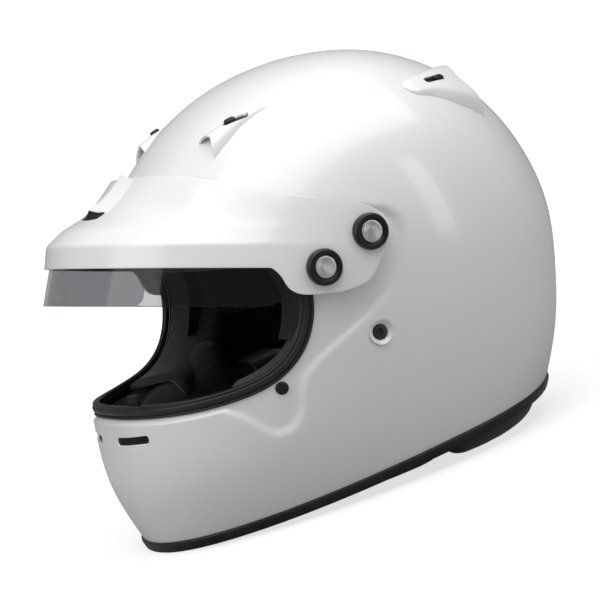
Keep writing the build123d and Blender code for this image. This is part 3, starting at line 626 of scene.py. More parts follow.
def mesh_cloth(name, dark, light, pitch, depth):
    """Open woven mesh: round eyelets in nearly even cells, with painted shade at their bottoms."""
    material, tree, shader = finish(name, light, 0.8, Sheen_Weight=0.3, Sheen_Roughness=0.4)
    cells = added(tree, "TexVoronoi", Scale=1.0 / pitch, Randomness=0.25)
    tree.links.new(object_place(tree), cells.inputs["Vector"])
    eye = between(tree, cells.outputs["Distance"], 0.0, 1.0, 0.18, 0.46)
    tinted(tree, shader, eye, dark, light, 0.1, 0.9)
    bumped(tree, shader, eye, depth)
    return material


def metal(name, tone, rough, stretch):
    """Metal with fine lines that run along one direction."""
    material, tree, shader = finish(name, tone, rough, Metallic=1.0)
    lines = noise(tree, 900.0, 4.0, stretch)
    scuffed(tree, shader, lines, rough * 0.8, rough * 1.35)
    bumped(tree, shader, lines, 0.00001, 0.7)
    return material


def turned_metal(name, tone, rough, centre):
    """Metal faced on a lathe: rings about a centre line that runs along X."""
    material, tree, shader = finish(name, tone, rough, Metallic=1.0, Anisotropic=0.95)
    shift = added(tree, "Mapping", Location=(0, -centre[0] * 0.001, -centre[1] * 0.001), Scale=(0, 1, 1))
    tree.links.new(object_place(tree), shift.inputs["Vector"])
    grooves = added(tree, "TexNoise", Scale=4200.0)
    grooves.noise_dimensions = "1D"
    tree.links.new(length_of(tree, shift.outputs["Vector"]), grooves.inputs["W"])
    bumped(tree, shader, grooves.outputs["Fac"], 0.00001, 0.2)
    scuffed(tree, shader, noise(tree, 260.0, 5.0), rough * 0.8, rough * 1.4)
    tangent = added(tree, "Tangent")
    tangent.direction_type, tangent.uv_map = "UV_MAP", "around"
    tree.links.new(tangent.outputs["Tangent"], shader.inputs["Tangent"])
    return material


def smoked(name):
    """Smoked clear plastic: dark tint, sharp gloss, faint wipe marks."""
    material, tree, shader = finish(name, (0.40, 0.405, 0.415), 0.03, Transmission_Weight=1.0, IOR=1.05,
                                    Coat_Weight=0.4, Coat_Roughness=0.03)
    wipe = noise(tree, 40.0, 6.0, (1, 1, 6))
    scuffed(tree, shader, wipe, 0.02, 0.05)
    bumped(tree, shader, wipe, 0.00001, 0.3)
    return material


# Each finish's maker and its name, tones, roughness or pitch, and the rest
RECIPES = {
    "lacquer": (lacquer, "gloss_white_lacquer"),
    "peak": (lacquer, "peak_white_lacquer"),
    "duct": (lacquer, "duct_white_lacquer"),
    "seal": (rubber, "seal_rubber", (0.015, 0.015, 0.017), 0.34),
    "trim": (rubber, "trim_rubber", (0.011, 0.011, 0.012), 0.3),
    "plug": (rubber, "plug_rubber", (0.008, 0.008, 0.009), 0.4),
    "nylon": (rubber, "black_nylon", (0.005, 0.005, 0.0055), 0.3, 1800.0),
    "foam": (rubber, "liner_foam", (0.03, 0.03, 0.033), 0.8, 900.0),
    "lining": (woven, "lining_cloth", (0.008, 0.008, 0.01), (0.03, 0.03, 0.034), 1.1, 0.0002),
    "mesh": (mesh_cloth, "pad_mesh_cloth", (0.004, 0.004, 0.005), (0.035, 0.035, 0.04), 1.5e-3, 0.0003),
    "roll": (woven, "roll_cloth", (0.01, 0.01, 0.012), (0.035, 0.035, 0.04), 0.9, 0.00015),
    "webbing": (woven, "strap_webbing", (0.008, 0.008, 0.01), (0.03, 0.03, 0.033), 1.6, 0.0003),
    "thread": (woven, "strap_thread", (0.02, 0.02, 0.022), (0.07, 0.07, 0.075), 0.5, 0.00005),
    "zinc": (metal, "zinc_steel", (0.55, 0.55, 0.54), 0.32, (1, 1, 6)),
    "black_steel": (metal, "black_steel", (0.06, 0.06, 0.065), 0.34, (6, 1, 1)),
    "ring": (metal, "ring_steel", (0.7, 0.7, 0.71), 0.14, (1, 6, 1)),
    "screen": (metal, "screen_wire", (0.03, 0.03, 0.03), 0.5, (1, 1, 1)),
    "disc_0": (turned_metal, "turned_disc_0", (0.6, 0.6, 0.6), 0.3, SCREWS[0]),
    "disc_1": (turned_metal, "turned_disc_1", (0.6, 0.6, 0.6), 0.3, SCREWS[1]),
    "shade": (smoked, "smoked_shade"),
}
PAINTS = {}


def painted(piece, key):
    """Gives a piece a finish, which is made once."""
    if key not in PAINTS:
        make, *values = RECIPES[key]
        PAINTS[key] = make(*values)
    piece.data.materials.clear()
    piece.data.materials.append(PAINTS[key])


def dress(piece, key, slot, body, *nodes):
    """Gives a piece its finish and body, and hides the CAD nodes it stands for; the slot is not used."""
    painted(piece, key)
    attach(piece, body)
    if nodes:
        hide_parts(*nodes)
    return piece


# Sizes a user would change

class ShellSizes(bpy.types.PropertyGroup):
    """Sizes of the lacquered shell."""
    step_width: bpy.props.FloatProperty(
        name="Step width", description="Width of the slope at the edge of the recess round the face opening",
        default=0.0038, min=0.001, max=0.01, subtype="DISTANCE", unit="LENGTH")
    wall: bpy.props.FloatProperty(
        name="Wall", description="Depth of the wall that shows at the openings",
        default=0.004, min=0.002, max=0.006, subtype="DISTANCE", unit="LENGTH")


def lamp_power(name, where, power):
    """Property for a lamp's power in watts."""
    return bpy.props.FloatProperty(name=name, description=f"Power of the {where}", default=power,
                                   min=0.0, max=500.0, unit="POWER")


class StudioSizes(bpy.types.PropertyGroup):
    """Colours and strengths of the studio."""
    floor_colour: bpy.props.FloatVectorProperty(
        name="Floor", description="Colour of the floor and backdrop", size=3,
        default=(0.32, 0.32, 0.32), min=0.0, max=1.0, subtype="COLOR")
    paper_lift: bpy.props.FloatProperty(
        name="Paper lift", description="How far the camera sees the paper under the helmet lit up",
        default=0.72, min=0.0, max=1.0, subtype="FACTOR")
    key_power: lamp_power("Key light", "large box over the helmet", 44.0)
    side_power: lamp_power("Side light", "box on the face's side", 12.0)
    strip_power: lamp_power("Strip light", "narrow box behind the camera's right", 3.0)
    room_light: bpy.props.FloatProperty(
        name="Room light", description="Strength of the even light of the room",
        default=0.3, min=0.0, max=5.0)


# Pieces

def dense(stops):
    """Places from a table of (start, step) pairs, with steps that change evenly between its places."""
    stops = np.asarray(stops, float)
    out = [stops[0, 0]]
    while out[-1] < stops[-1, 0]:
        out.append(out[-1] + np.interp(out[-1], stops[:, 0], stops[:, 1]))
    out[-1] = stops[-1, 0]
    if out[-1] - out[-2] < 0.4 * stops[-1, 1]:
        out.pop(-2)
    return np.array(out)


def rim_height(y):
    """Height of the shell's lower rim, which rises backwards."""
    return RIM_FRONT + RIM_RISE * (y + HALF_LENGTH)


CHIN_SLOTS = ((31.0, 71.7), (-31.0, 71.7))
CHIN_RUN, CHIN_RADIUS, SLOT_LIP = 14.5, 2.5, 1.0
ANCHOR, ANCHOR_RADIUS, PLUG = (-10.5, 91.5), 6.6, (-71.3, 79.9)


def slot_distance(points):
    """Distance to the two chin slots in the front view: to a level line, less half the height and the lip."""
    x, y, z = np.moveaxis(points, -1, 0)
    best = np.full(x.shape, 1e3)
    for cx, cz in CHIN_SLOTS:
        reach = np.clip(x - cx, -CHIN_RUN, CHIN_RUN)
        best = np.minimum(best, np.hypot(x - cx - reach, z - cz) - CHIN_RADIUS - SLOT_LIP)
    return np.where(y < -90, best, 1e3)


def slot_path(cx, cz):
    """Path on the shell's front round a chin slot: two level runs joined by half circles."""
    run = np.linspace(-CHIN_RUN, CHIN_RUN, 25)
    bend = np.linspace(-np.pi / 2, np.pi / 2, 13)[1:-1]
    side, level = CHIN_RADIUS * np.cos(bend), np.full(25, CHIN_RADIUS)
    x = np.r_[run, CHIN_RUN + side, run[::-1], -CHIN_RUN - side]
    z = np.r_[-level, CHIN_RADIUS * np.sin(bend), level, -CHIN_RADIUS * np.sin(bend)]
    start, forward = np.stack((cx + x, np.full(len(x), -60.0), cz + z), -1), np.array([0, -1.0, 0])
    return start + skin_along(start, forward, 120.0)[:, None] * forward


def anchor_distance(points):
    """Distance to the rim of the round side anchors."""
    y, z = points[..., 1], points[..., 2]
    return np.hypot(y - ANCHOR[0], z - ANCHOR[1]) - ANCHOR_RADIUS


def eyeport_distance(points):
    """Distance to the edge of the face opening in the side view."""
    return outline_distance(points[..., 1:], EYEPORT_OUTLINE)


def step_down(points, step):
    """How far the shell is stepped down: in the recess over a rounded slope, and on the opening's ledge."""
    side = points[..., 1:]
    recess = ease(0.5 - outline_distance(side, RECESS_OUTLINE) / step)
    ledge = ease(0.5 - (outline_distance(side, EYEPORT_OUTLINE) - LEDGE_WIDTH) / LEDGE_SLOPE)
    return RECESS_DEPTH * (1 - (1 - recess) * (1 - ledge))


# The shell's rows run in thousandths down to a last place on its side, and then on to the rim
LAST_ROW, RIM_ROWS, LAST_PLACE = 1000, 100, 0.955
SHELL_ROWS = ((2, 8), (40, 11), (500, 11), (560, 6), (640, 5), (800, 3.4), (835, 2.2), (872, 1.4),
              (895, 1.4), (900, 3.0), (940, 6), (LAST_ROW, 7))
SHELL_TURNS = ((0, 0.45), (26, 0.45), (60, 0.75), (100, 0.9), (125, 2.4), (180, 3.0))


class HELMET_OT_shell(bpy.types.Operator):
    """Lacquered shell with its stepped recess, face opening, chin slots and side anchors"""
    bl_idname = "helmet.shell"
    bl_label = "Shell"

    def execute(self, context):
        sizes = context.scene.helmet_shell
        step = sizes.step_width * 1000

        def surface(row, turn):
            q = np.minimum(row, LAST_ROW) / LAST_ROW * LAST_PLACE
            share = np.clip((row - LAST_ROW) / RIM_ROWS, 0, 1)
            for _ in range(6):
                y = skin(q, turn)[..., 1]
                z = (1 - share) * HEIGHT * (1 - LAST_PLACE ** 2) + share * rim_height(y)
                q = np.where(row > LAST_ROW, np.sqrt(1 - z / HEIGHT), q)
            points, normal = skin(q, turn), skin_normal(q, turn)
            return points - normal * step_down(points, step)[..., None]

        rows = np.r_[dense(SHELL_ROWS), np.linspace(LAST_ROW, LAST_ROW + RIM_ROWS, 9)[1:]]
        half = np.radians(dense(SHELL_TURNS))
        points, faces, i = trimmed_grid(surface, rows, np.r_[-half[:0:-1], half[:-1]],
                                        (eyeport_distance, slot_distance, anchor_distance), True)
        # The open edges get a wall inwards, and the one round the crown is closed to a point.
        rim = rim_edges(faces)
        edge, used = np.unique(rim), len(points)
        walls = points[edge] - skin_normal(*skin_params(points[edge])) * sizes.wall * 1000
        where = np.full(used, -1)
        where[edge] = used + np.arange(len(edge))
        crown = (i[rim] == 0).all(1)
        a, b = rim[~crown].T
        faces += np.stack((b, a, where[a], where[b]), -1).tolist()
        a, b = rim[crown].T
        faces += np.stack((b, a, np.full(len(a), used + len(edge))), -1).tolist()
        piece = new_piece("helmet_shell", np.vstack((points, walls, [[0, CROWN_Y, HEIGHT]])), faces)
        dress(piece, "lacquer", "shell_paint", "helmet", "outer_shell")
        # Each slot's rolled lip follows a level line with half circles at its ends.
        lip = round_profile(((-0.3, -4.0), (-0.3, -0.4), (0.2, 0.12), (1.3, 0.04), (1.6, -0.6), (0.5, -0.7),
                             (0.5, -4.0), (-0.3, -4.0)), 0.45, 5)[:-1]
        for slot, tag in zip(CHIN_SLOTS, ("left", "right")):
            path = slot_path(*slot)
            piece = carried(f"slot_lip_{tag}", path, skin_normal(*skin_params(path)), lip)
            dress(piece, "lacquer", "shell_paint", "helmet")
        return {"FINISHED"}


OPENING_MIDDLE = np.array([0, -120, 125])


def eyeport_path(count=240):
    """Closed path of the face opening's edge on the shell, and the shell's normals along it.

    It runs from the middle of the chin up the wearer's left, over the brow and back on the right.
    """
    brow = np.vstack((EYEPORT[-1], EYEPORT_BROW[0]))
    line = np.vstack((smooth_line(EYEPORT, 900), smooth_line(brow, 900)[1:]))
    front = CROWN_Y - level_sizes(np.sqrt(np.clip(1 - line[:, 1] / HEIGHT, 0, None)), 0.0)[1]
    points = np.column_stack((skin_side(*line.T), line))[line[:, 0] > front + 1e-3]
    # The two ends reach the middle of the helmet, where the side view has no width.
    start, end = points[0].copy(), points[-1].copy()
    for p in (start, end):
        p[:2] = 0, CROWN_Y - level_sizes(np.sqrt(1 - p[2] / HEIGHT), 0.0)[1]
    points = np.vstack((start, points, end))
    points = line_at(points, np.linspace(0, run_of(points)[-1], count))
    path = np.vstack((points, points[1:-1][::-1] * (-1, 1, 1)))
    return path, skin_normal(*skin_params(path))


def turned_out(path, normals, profile, k=20):
    """Profile mirrored where plus across would run into the face opening, as judged at point k."""
    inwards = np.cross(path[k + 1] - path[k], normals[k]) @ (path[k] - OPENING_MIDDLE) < 0
    return profile * (-1, 1) if inwards else profile


# Across away from the opening, and height: an outer lip, a groove, the bulb over the edge and an inner lip
SEAL_PROFILE = (
    (4.5, 0.05), (4.5, 1.3), (3.7, 1.75), (3.0, 1.5), (2.7, 0.75), (2.2, 0.75), (1.9, 1.7), (0.4, 2.1),
    (-1.0, 1.9), (-1.5, 1.1), (-2.0, 1.1), (-2.5, 1.5), (-3.4, 0.9), (-3.6, -1.2), (-2.8, -3.0), (4.2, -3.1),
    (4.4, -1.7), (-0.15, -1.65), (-0.15, 0.05), (4.5, 0.05))
# Across is up the shell: the channel stands 5.2 mm up it, outside and inside
TRIM_PROFILE = (
    (5.2, 0.05), (5.0, 1.3), (3.6, 1.8), (-0.6, 1.8), (-1.8, 0.8), (-1.8, -4.8), (-0.6, -5.8), (5.0, -5.7),
    (5.2, -4.1), (0.0, -4.0), (0.0, 0.05), (5.2, 0.05))
SEAL_SINK = 0.5


class HELMET_OT_seal(bpy.types.Operator):
    """Rubber seal round the face opening"""
    bl_idname = "helmet.seal"
    bl_label = "Face seal"

    def execute(self, context):
        path, normals = eyeport_path()
        for _ in range(3):
            normals = np.roll(normals, 1, 0) + normals * 2 + np.roll(normals, -1, 0)
            normals /= np.linalg.norm(normals, axis=1, keepdims=True)
        path = path - normals * RECESS_DEPTH
        profile = round_profile(SEAL_PROFILE, 0.5, 4)[:-1] - (0, SEAL_SINK)
        piece = carried("face_seal", path, normals, turned_out(path, normals, profile))
        dress(piece, "seal", "black_rubber", "helmet", "eyeport_seal")
        return {"FINISHED"}


class HELMET_OT_trim(bpy.types.Operator):
    """Rubber trim along the lower rim"""
    bl_idname = "helmet.trim"
    bl_label = "Rim trim"

    def execute(self, context):
        turn = np.linspace(-np.pi, np.pi, 361)[:-1]
        q = np.full_like(turn, 0.97)
        for _ in range(12):
            z = rim_height(skin(q, turn)[:, 1])
            q = np.sqrt(1 - z / HEIGHT)
        path, normals = skin(q, turn), skin_normal(q, turn)
        profile = round_profile(TRIM_PROFILE, 0.9, 4)[:-1]
        if np.cross(path[91] - path[90], normals[90])[2] < 0:
            profile = profile * (-1, 1)
        piece = carried("rim_trim", path, normals, profile)
        co = mesh_points(piece.data)
        co[:, 2] = np.maximum(co[:, 2], 0.0)
        piece.data.vertices.foreach_set("co", co.ravel())
        dress(piece, "trim", "trim_rubber", "helmet", "edge_trim")
        return {"FINISHED"}


# Peak: levels of the worn frame with the hood's reach and half width, then its side view outline
HOOD_CENTRE = -73.87
HOOD_LEVELS = np.array([
    (96.6, 125.8, 120.4), (118.0, 122.0, 120.4), (131.8, 121.0, 120.4), (141.4, 111.0, 114.8),
    (149.6, 97.1, 107.1), (160.6, 82.0, 95.6), (168.3, 71.1, 86.7), (176.8, 60.8, 76.5),
])
PEAK_OUTLINE = np.array([
    (-106.4, 118.4), (-101.4, 113.3), (-97.3, 106.8), (-90.9, 103.7), (-81.6, 103.7), (-65.1, 105.9),
    (-57.0, 108.8), (-52.1, 111.8), (-46.7, 121.3), (-42.0, 130.2), (-39.5, 140.2), (-41.0, 144.7),
    (-46.1, 150.4), (-55.6, 154.3), (-88.8, 159.1), (-111.0, 163.0), (-139.4, 171.1),
])
PEAK_FRONT = np.array([(-228.0, 179.3), (-228.0, 118.4)])
PEAK_CLEAR, PEAK_WALL, TILT_CLEAR = 3.0, 2.5, 0.8
TILTS = np.radians((6.0, 12.0))
PEAK_ROWS = ((101.5, 1.6), (128, 1.0), (136, 0.9), (146, 0.9), (152, 0.8), (176, 1.6))
PEAK_TURNS = ((0, 0.55), (12, 0.6), (20, 1.2), (60, 1.0), (110, 0.8), (164, 1.6))
SHADE_CORNER = np.array([
    (-108.6, 96.6), (-103.4, 97.9), (-100.2, 101.6), (-99.6, 105.6), (-99.6, 126.0),
])
SHADE_FRONT = [(-228, 126.0), (-228, 96.6)]
SHADE_THIN, SHADE_WALL, SHADE_CLEAR = 2.8, 1.5, PEAK_CLEAR - 0.3


def hood_sizes(z):
    """Reach and half width of the hood at a worn height: the table's straight lines, eased at its breaks."""
    fine = np.linspace(80, 190, 881)
    window = np.exp(-np.linspace(-3, 3, 41) ** 2 / 2)
    window /= window.sum()
    out = []
    for column in (1, 2):
        line = np.interp(fine, HOOD_LEVELS[:, 0], HOOD_LEVELS[:, column])
        line = np.convolve(np.pad(line, 20, "edge"), window, "valid")
        out.append(np.interp(z, fine, line))
    return out


def hood_at(far, turn, z):
    """Point at a reach, turn and worn height of the hood, turned back onto the table."""
    flat = np.broadcast_arrays(far * np.sin(turn), HOOD_CENTRE - far * np.cos(turn), z)
    return unworn(np.stack(flat, -1))


def skin_ray(turn, z, grow, tilt=0.0):
    """Reach of the shell from the hood's centre line at a turn and worn height, with the peak tilted."""
    def tilted(far):
        p = hood_at(far, turn, z)
        y, h = p[..., 1] - SCREWS[0][0], p[..., 2] - SCREWS[0][1]
        p[..., 1] = SCREWS[0][0] + y * np.cos(tilt) - h * np.sin(tilt)
        p[..., 2] = SCREWS[0][1] + y * np.sin(tilt) + h * np.cos(tilt)
        return p

    return halved(np.broadcast(turn, z).shape, 0.0, 300.0, tilted, grow, 26)[0]


def swept_ray(turn, z, clear):
    """Reach that clears the shell over the peak's whole tilt, run over smoothly from tilt to tilt."""
    far = skin_ray(turn, z, clear)
    for tilt in TILTS:
        other = skin_ray(turn, z, clear - PEAK_CLEAR + TILT_CLEAR, tilt)
        far = (far + other + np.hypot(far - other, TILT_CLEAR)) / 2
    return far


def hood_surface(z, turn, thin=0.0, clear=PEAK_CLEAR + PEAK_WALL, blend=30):
    """Reach of the peak: (hood^n + shell^n)^(1/n), of the hood's ellipse and the shell moved outwards."""
    reach, wide = hood_sizes(z)
    reach, wide = reach - thin, wide - thin
    reach = np.where(np.cos(turn) > 0, reach, wide * wide / reach)
    hood = 1 / np.hypot(np.sin(turn) / wide, np.cos(turn) / reach)
    shell = swept_ray(turn, z, clear)
    more, less = np.maximum(hood, shell), np.minimum(hood, shell)
    return more * (1 + (less / more) ** blend) ** (1 / blend)


SCOOP_HALF, SCOOP_HEIGHT, SCOOP_WALL, SCOOP_SWEEP = 14.0, 4.6, 1.3, 1.6
SCOOP_MOUTH, SCOOP_END = 149.2, 170.5


def scoop_rise(x):
    """Gable of the air scoop: it falls evenly from a rounded ridge to a rounded foot."""
    fall = SCOOP_HEIGHT * (1 - (np.hypot(x, 1.6) - 1.6) / SCOOP_HALF)
    return (fall + np.hypot(fall, 0.7)) / 2


def hood_point(x, z, rise=0.0):
    """Point of the hood's front at a distance from the middle and a worn height, raised off it."""
    turn = np.arcsin(np.clip(x / 100.0, -1, 1))
    for _ in range(8):
        turn = np.arcsin(np.clip(x / hood_surface(z, turn), -1, 1))
    far = hood_surface(z, turn)
    flat = np.stack((x, HOOD_CENTRE - far * np.cos(turn), z), -1)
    return unworn(flat + np.stack((0 * x, -0.49 * rise, 0.87 * rise), -1))


def peak_sheet(name, reach, rows, turns, outline):
    """Sheet at a reach over worn heights and turns to both sides, cut to an outline of the side view."""
    def inside(points):
        return -outline_distance(worn(points)[..., 1:], outline)

    half = np.radians(dense(turns))
    points, faces, _ = trimmed_grid(lambda z, turn: hood_at(reach(z, turn), turn, z), dense(rows),
                                    np.r_[-half[:0:-1], half], (inside,), False)
    return new_piece(name, points, [f[::-1] for f in faces])


class HELMET_OT_peak(bpy.types.Operator):
    """Tilting peak with its lip, side plates and air scoop"""
    bl_idname = "helmet.peak"
    bl_label = "Peak"

    def execute(self, context):
        outline = np.vstack((smooth_line(PEAK_OUTLINE, 140), PEAK_FRONT))
        piece = peak_sheet("peak_hood", hood_surface, PEAK_ROWS, PEAK_TURNS, outline)
        dress(walled(piece, PEAK_WALL, 0.7, 60), "peak", "peak_paint", "peak_unit", "peak")

        v, u = np.meshgrid(np.linspace(-1, 1, 49), np.linspace(0, 1, 41), indexing="ij")
        x, z = v * (SCOOP_HALF + 1.0), SCOOP_MOUTH + (SCOOP_END - SCOOP_MOUTH) * u
        ridge = hood_point(x, z + SCOOP_SWEEP * v ** 2 * (1 - u), scoop_rise(x) - 0.25)
        piece = walled(new_piece("air_scoop", ridge.reshape(-1, 3), grid_faces(49, 41)), SCOOP_WALL, 0.4)
        dress(upright(piece, (0, -0.9, 0.4)), "peak", "peak_paint", "peak_unit")

        # Painted shade: a black sheet across the scoop's mouth stands for the shade in its opening.
        v, w = np.meshgrid(np.linspace(-1, 1, 41), np.linspace(-0.3, 1, 7), indexing="ij")
        x, z = v * SCOOP_HALF, SCOOP_MOUTH + SCOOP_SWEEP * v ** 2 - 2.2 + 2.6 * w
        back = hood_point(x, z, w * (scoop_rise(x) - 0.5))
        piece = walled(new_piece("scoop_mouth_shade", back.reshape(-1, 3), grid_faces(41, 7)), 0.6, 0, offset=0.0)
        dress(piece, "nylon", "black_nylon", "peak_unit")
        return {"FINISHED"}


class HELMET_OT_shade(bpy.types.Operator):
    """Smoked shade strip inside the peak's lip"""
    bl_idname = "helmet.shade"
    bl_label = "Shade strip"

    def execute(self, context):
        outline = np.vstack((smooth_line(SHADE_CORNER[:4], 20), SHADE_CORNER[4:], SHADE_FRONT))
        piece = peak_sheet("shade_strip", lambda z, turn: hood_surface(z, turn, SHADE_THIN, SHADE_CLEAR, 40),
                           ((95.0, 0.8), (104, 1.2), (126.5, 2.5)), ((0, 1.2), (60, 1.0), (88, 0.8)), outline)
        dress(walled(piece, SHADE_WALL, 0.4, 60), "shade", "smoke_shade", "peak_unit", "peak_shade")
        return {"FINISHED"}


# Lathe profiles of radius and height, with the radius of their rounded corners and its steps
COLLAR = ((6.6, -2.2), (10.5, -2.2), (10.5, 1.5), (9.6, 3.2), (8.6, 3.4), (7.0, 2.6), (6.6, 1.9),
          (6.6, -2.2)), 0.7, 4
SCREW_HEAD = ((0.0, 2.35), (5.4, 2.75), (6.4, 2.5), (6.5, 1.9), (6.5, 0.7), (2.5, 0.6), (2.5, -9.0),
              (0.0, -9.0)), 0.3, 3
ANCHOR_CUP = ((7.4, -0.6), (7.4, 0.0), (6.9, 0.08), (4.75, -1.5), (4.6, -4.4)), 0.5, 5
ANCHOR_SCREW = ((0.0, -1.9), (3.6, -1.9), (4.3, -2.3), (4.4, -3.2), (4.4, -3.4), (0.0, -3.4)), 0.25, 3
# The anchor screw's socket is painted shade: a thin black hexagon on its head, not a recess.
ANCHOR_SOCKET_SHADE = ((0.0, -1.86), (1.9, -1.86), (1.9, -1.7), (2.3, -1.7), (2.4, -1.95)), 0.1, 3
PLUG_KNOB = ((0.0, 1.25), (2.9, 1.1), (3.9, 0.3), (3.9, -1.2), (0.0, -1.2)), 0.7, 5
COLLAR_GAP = 0.7
SIDES = ((1, "left"), (-1, "right"))


class HELMET_OT_screws(bpy.types.Operator):
    """Peak collars and screws, side anchors and shield plugs"""
    bl_idname = "helmet.screws"
    bl_label = "Screws and plugs"

    def execute(self, context):
        for k, (y, z) in enumerate(SCREWS):
            around = np.array(((6.5, 0), (-6.5, 0), (0, 6.5), (0, -6.5))) + (y, z)
            base = skin_side(*around.T, PEAK_CLEAR + PEAK_WALL).max() + COLLAR_GAP
            for side, tag in SIDES:
                place = (side * base, y, z), (side, 0, 0)
                # The first piece of a kind stands for the whole node.
                nodes = ("peak_collars", "peak_screws") if k == 0 and side == 1 else ()
                piece = lathe(f"peak_collar_{k}_{tag}", round_profile(*COLLAR), *place)
                dress(piece, "nylon", "black_nylon", "helmet", *nodes[:1])
                piece = lathe(f"peak_screw_{k}_{tag}", round_profile(*SCREW_HEAD), *place, 96)
                dress(piece, f"disc_{k}", "brushed_aluminium", "helmet", *nodes[1:])
        for side, tag in SIDES:
            place = (side * float(skin_side(*np.array(ANCHOR))), *ANCHOR), (side, 0, 0)
            piece = lathe(f"anchor_cup_{tag}", round_profile(*ANCHOR_CUP), *place)
            dress(piece, "lacquer", "shell_paint", "helmet")
            nodes = ("anchor_screws", "shield_plugs") if side > 0 else ()
            piece = lathe(f"anchor_screw_{tag}", round_profile(*ANCHOR_SCREW), *place)
            dress(piece, "black_steel", "black_steel", "helmet", *nodes[:1])
            # Painted shade: a black hexagon on the screw head stands for the shade in its socket.
            piece = lathe(f"anchor_socket_shade_{tag}", round_profile(*ANCHOR_SOCKET_SHADE), *place, 6)
            dress(piece, "nylon", "black_nylon", "helmet")
            seat = np.array((side * float(skin_side(*np.array(PLUG), -RECESS_DEPTH)), *PLUG))
            normal = skin_normal(*skin_params(seat[None]))[0]
            piece = lathe(f"shield_plug_{tag}", round_profile(*PLUG_KNOB), seat, normal)
            dress(piece, "plug", "plug_rubber", "helmet", *nodes[1:])
        return {"FINISHED"}


# Crown ducts in mm: place, length, half width, roof heights at mouth and tail, heading in degrees, sense
DUCTS = {
    "front": (63.5, -33.0, 46.0, 11.6, (4.9, -1.6), 16.0, 1),
    "rear": (83.0, 88.0, 54.0, 21.0, (4.6, -2.4), -15.0, -1),
}
# By sense: shares of the half width at the places, and how far the outer prong swings, widens and shortens
SHARE_PLACES = (-0.52, -0.44, -0.30, -0.10, 0.15, 0.35, 0.45, 0.5)
DUCT_SIDES = {1: (1.05, 1.02, 0.90, 0.68, 0.38, 0.18, 0.08, 0.02),
              -1: (1.04, 1.0, 0.88, 0.70, 0.50, 0.38, 0.26, 0.06)}
DUCT_OUTER = {1: (0.19, 1.0, 0.10), -1: (0.0, 1.38, 0.12)}
ROOF_RADIUS, SLOT_SHARE, SLOT_REACH, SLOT_RADIUS = 110.0, 0.08, 5.8, 2.3
DUCT_WALL, KNOB_START = 1.3, -3.5
# Rings of half run, radius and height
KNOB = (1.6, 1.9, -1.0), (1.6, 1.9, 0.4), (1.4, 1.7, 0.8), (0.8, 1.2, 0.95), (0.0, 0.02, 0.95)
FOOT = (0.0, 0.02, -1.65), (1.2, 3.2, -1.65), (1.2, 3.2, -2.4), (0.0, 0.02, -2.4)
UP = np.array([0, 0, 1.0])


def duct_frame(x, y, heading):
    """Origin on the shell and the directions along, across and off it at a duct."""
    start = np.array([x, y, 120.0])
    origin = start + skin_along(start, UP, 150.0) * UP
    off = skin_normal(*skin_params(origin[None]))[0]
    ahead = np.array([np.sin(np.radians(heading)), np.cos(np.radians(heading)), 0])
    ahead = ahead - off * (ahead @ off)
    ahead /= np.linalg.norm(ahead)
    return origin, ahead, np.cross(off, ahead), off


def duct_roof(a, length, heights):
    """Height of the roof's long arc over the duct's plane, at a distance from the middle towards the tail."""
    chord = np.hypot(length, heights[1] - heights[0])
    deep = np.sqrt(ROOF_RADIUS ** 2 - (chord / 2) ** 2)
    along = deep * (heights[1] - heights[0]) / chord
    return sum(heights) / 2 - deep * length / chord + np.sqrt(ROOF_RADIUS ** 2 - (a - along) ** 2)


def duct_surface(duct, u, v, sink=0.0, narrow=1.0):
    """Point of a duct: u runs from the notched mouth to the tail and v across.

    The half width follows a smooth line of shares. The height over the shell is
    roof * tanh(slope * f / roof), with f the distance from the side line, so the flanks rise evenly
    and run over into the roof.
    """
    x, y, length, half, heights, heading, sense = duct
    origin, ahead, across, off = duct_frame(x, y, heading)
    swing, widen, shorten = DUCT_OUTER[sense]
    outer = np.clip(-v, 0, 1)
    notch = -0.31 - 0.19 * np.abs(v) ** 1.4 + shorten * outer
    a = notch + (0.5 - notch) * u
    side = half * even_curve(SHARE_PLACES, DUCT_SIDES[sense])(a)
    side = side * (1 + (widen - 1) * ease(outer * 1.5) * ease((0.5 - a) * 1.6))
    b = side * v * narrow - swing * length * np.clip(0.1 - a, 0, None)
    a = a * length
    plane = origin + sense * a[..., None] * ahead + b[..., None] * across
    low = skin_along(plane, off, 25.0)
    roof = np.maximum(duct_roof(a, length, heights) - low, 0.05)
    f = side * (1 - np.abs(v) * narrow) * 0.9
    rise = roof * np.tanh(1.25 * f / roof) - sink
    return plane + (low + rise)[..., None] * off


def knob_rings(top, ahead, across, off, rings):
    """Stadium-shaped rings for a slider: each ring is (half run, radius, height) at a point of the roof."""
    bend = np.linspace(-np.pi / 2, np.pi / 2, 11)
    out = []
    for run, radius, height in rings:
        a = np.r_[run + radius * np.cos(bend), -run - radius * np.cos(bend)]
        b = np.r_[radius * np.sin(bend), -radius * np.sin(bend)]
        out.append(top + a[:, None] * ahead + b[:, None] * across + height * off)
    return np.array(out)


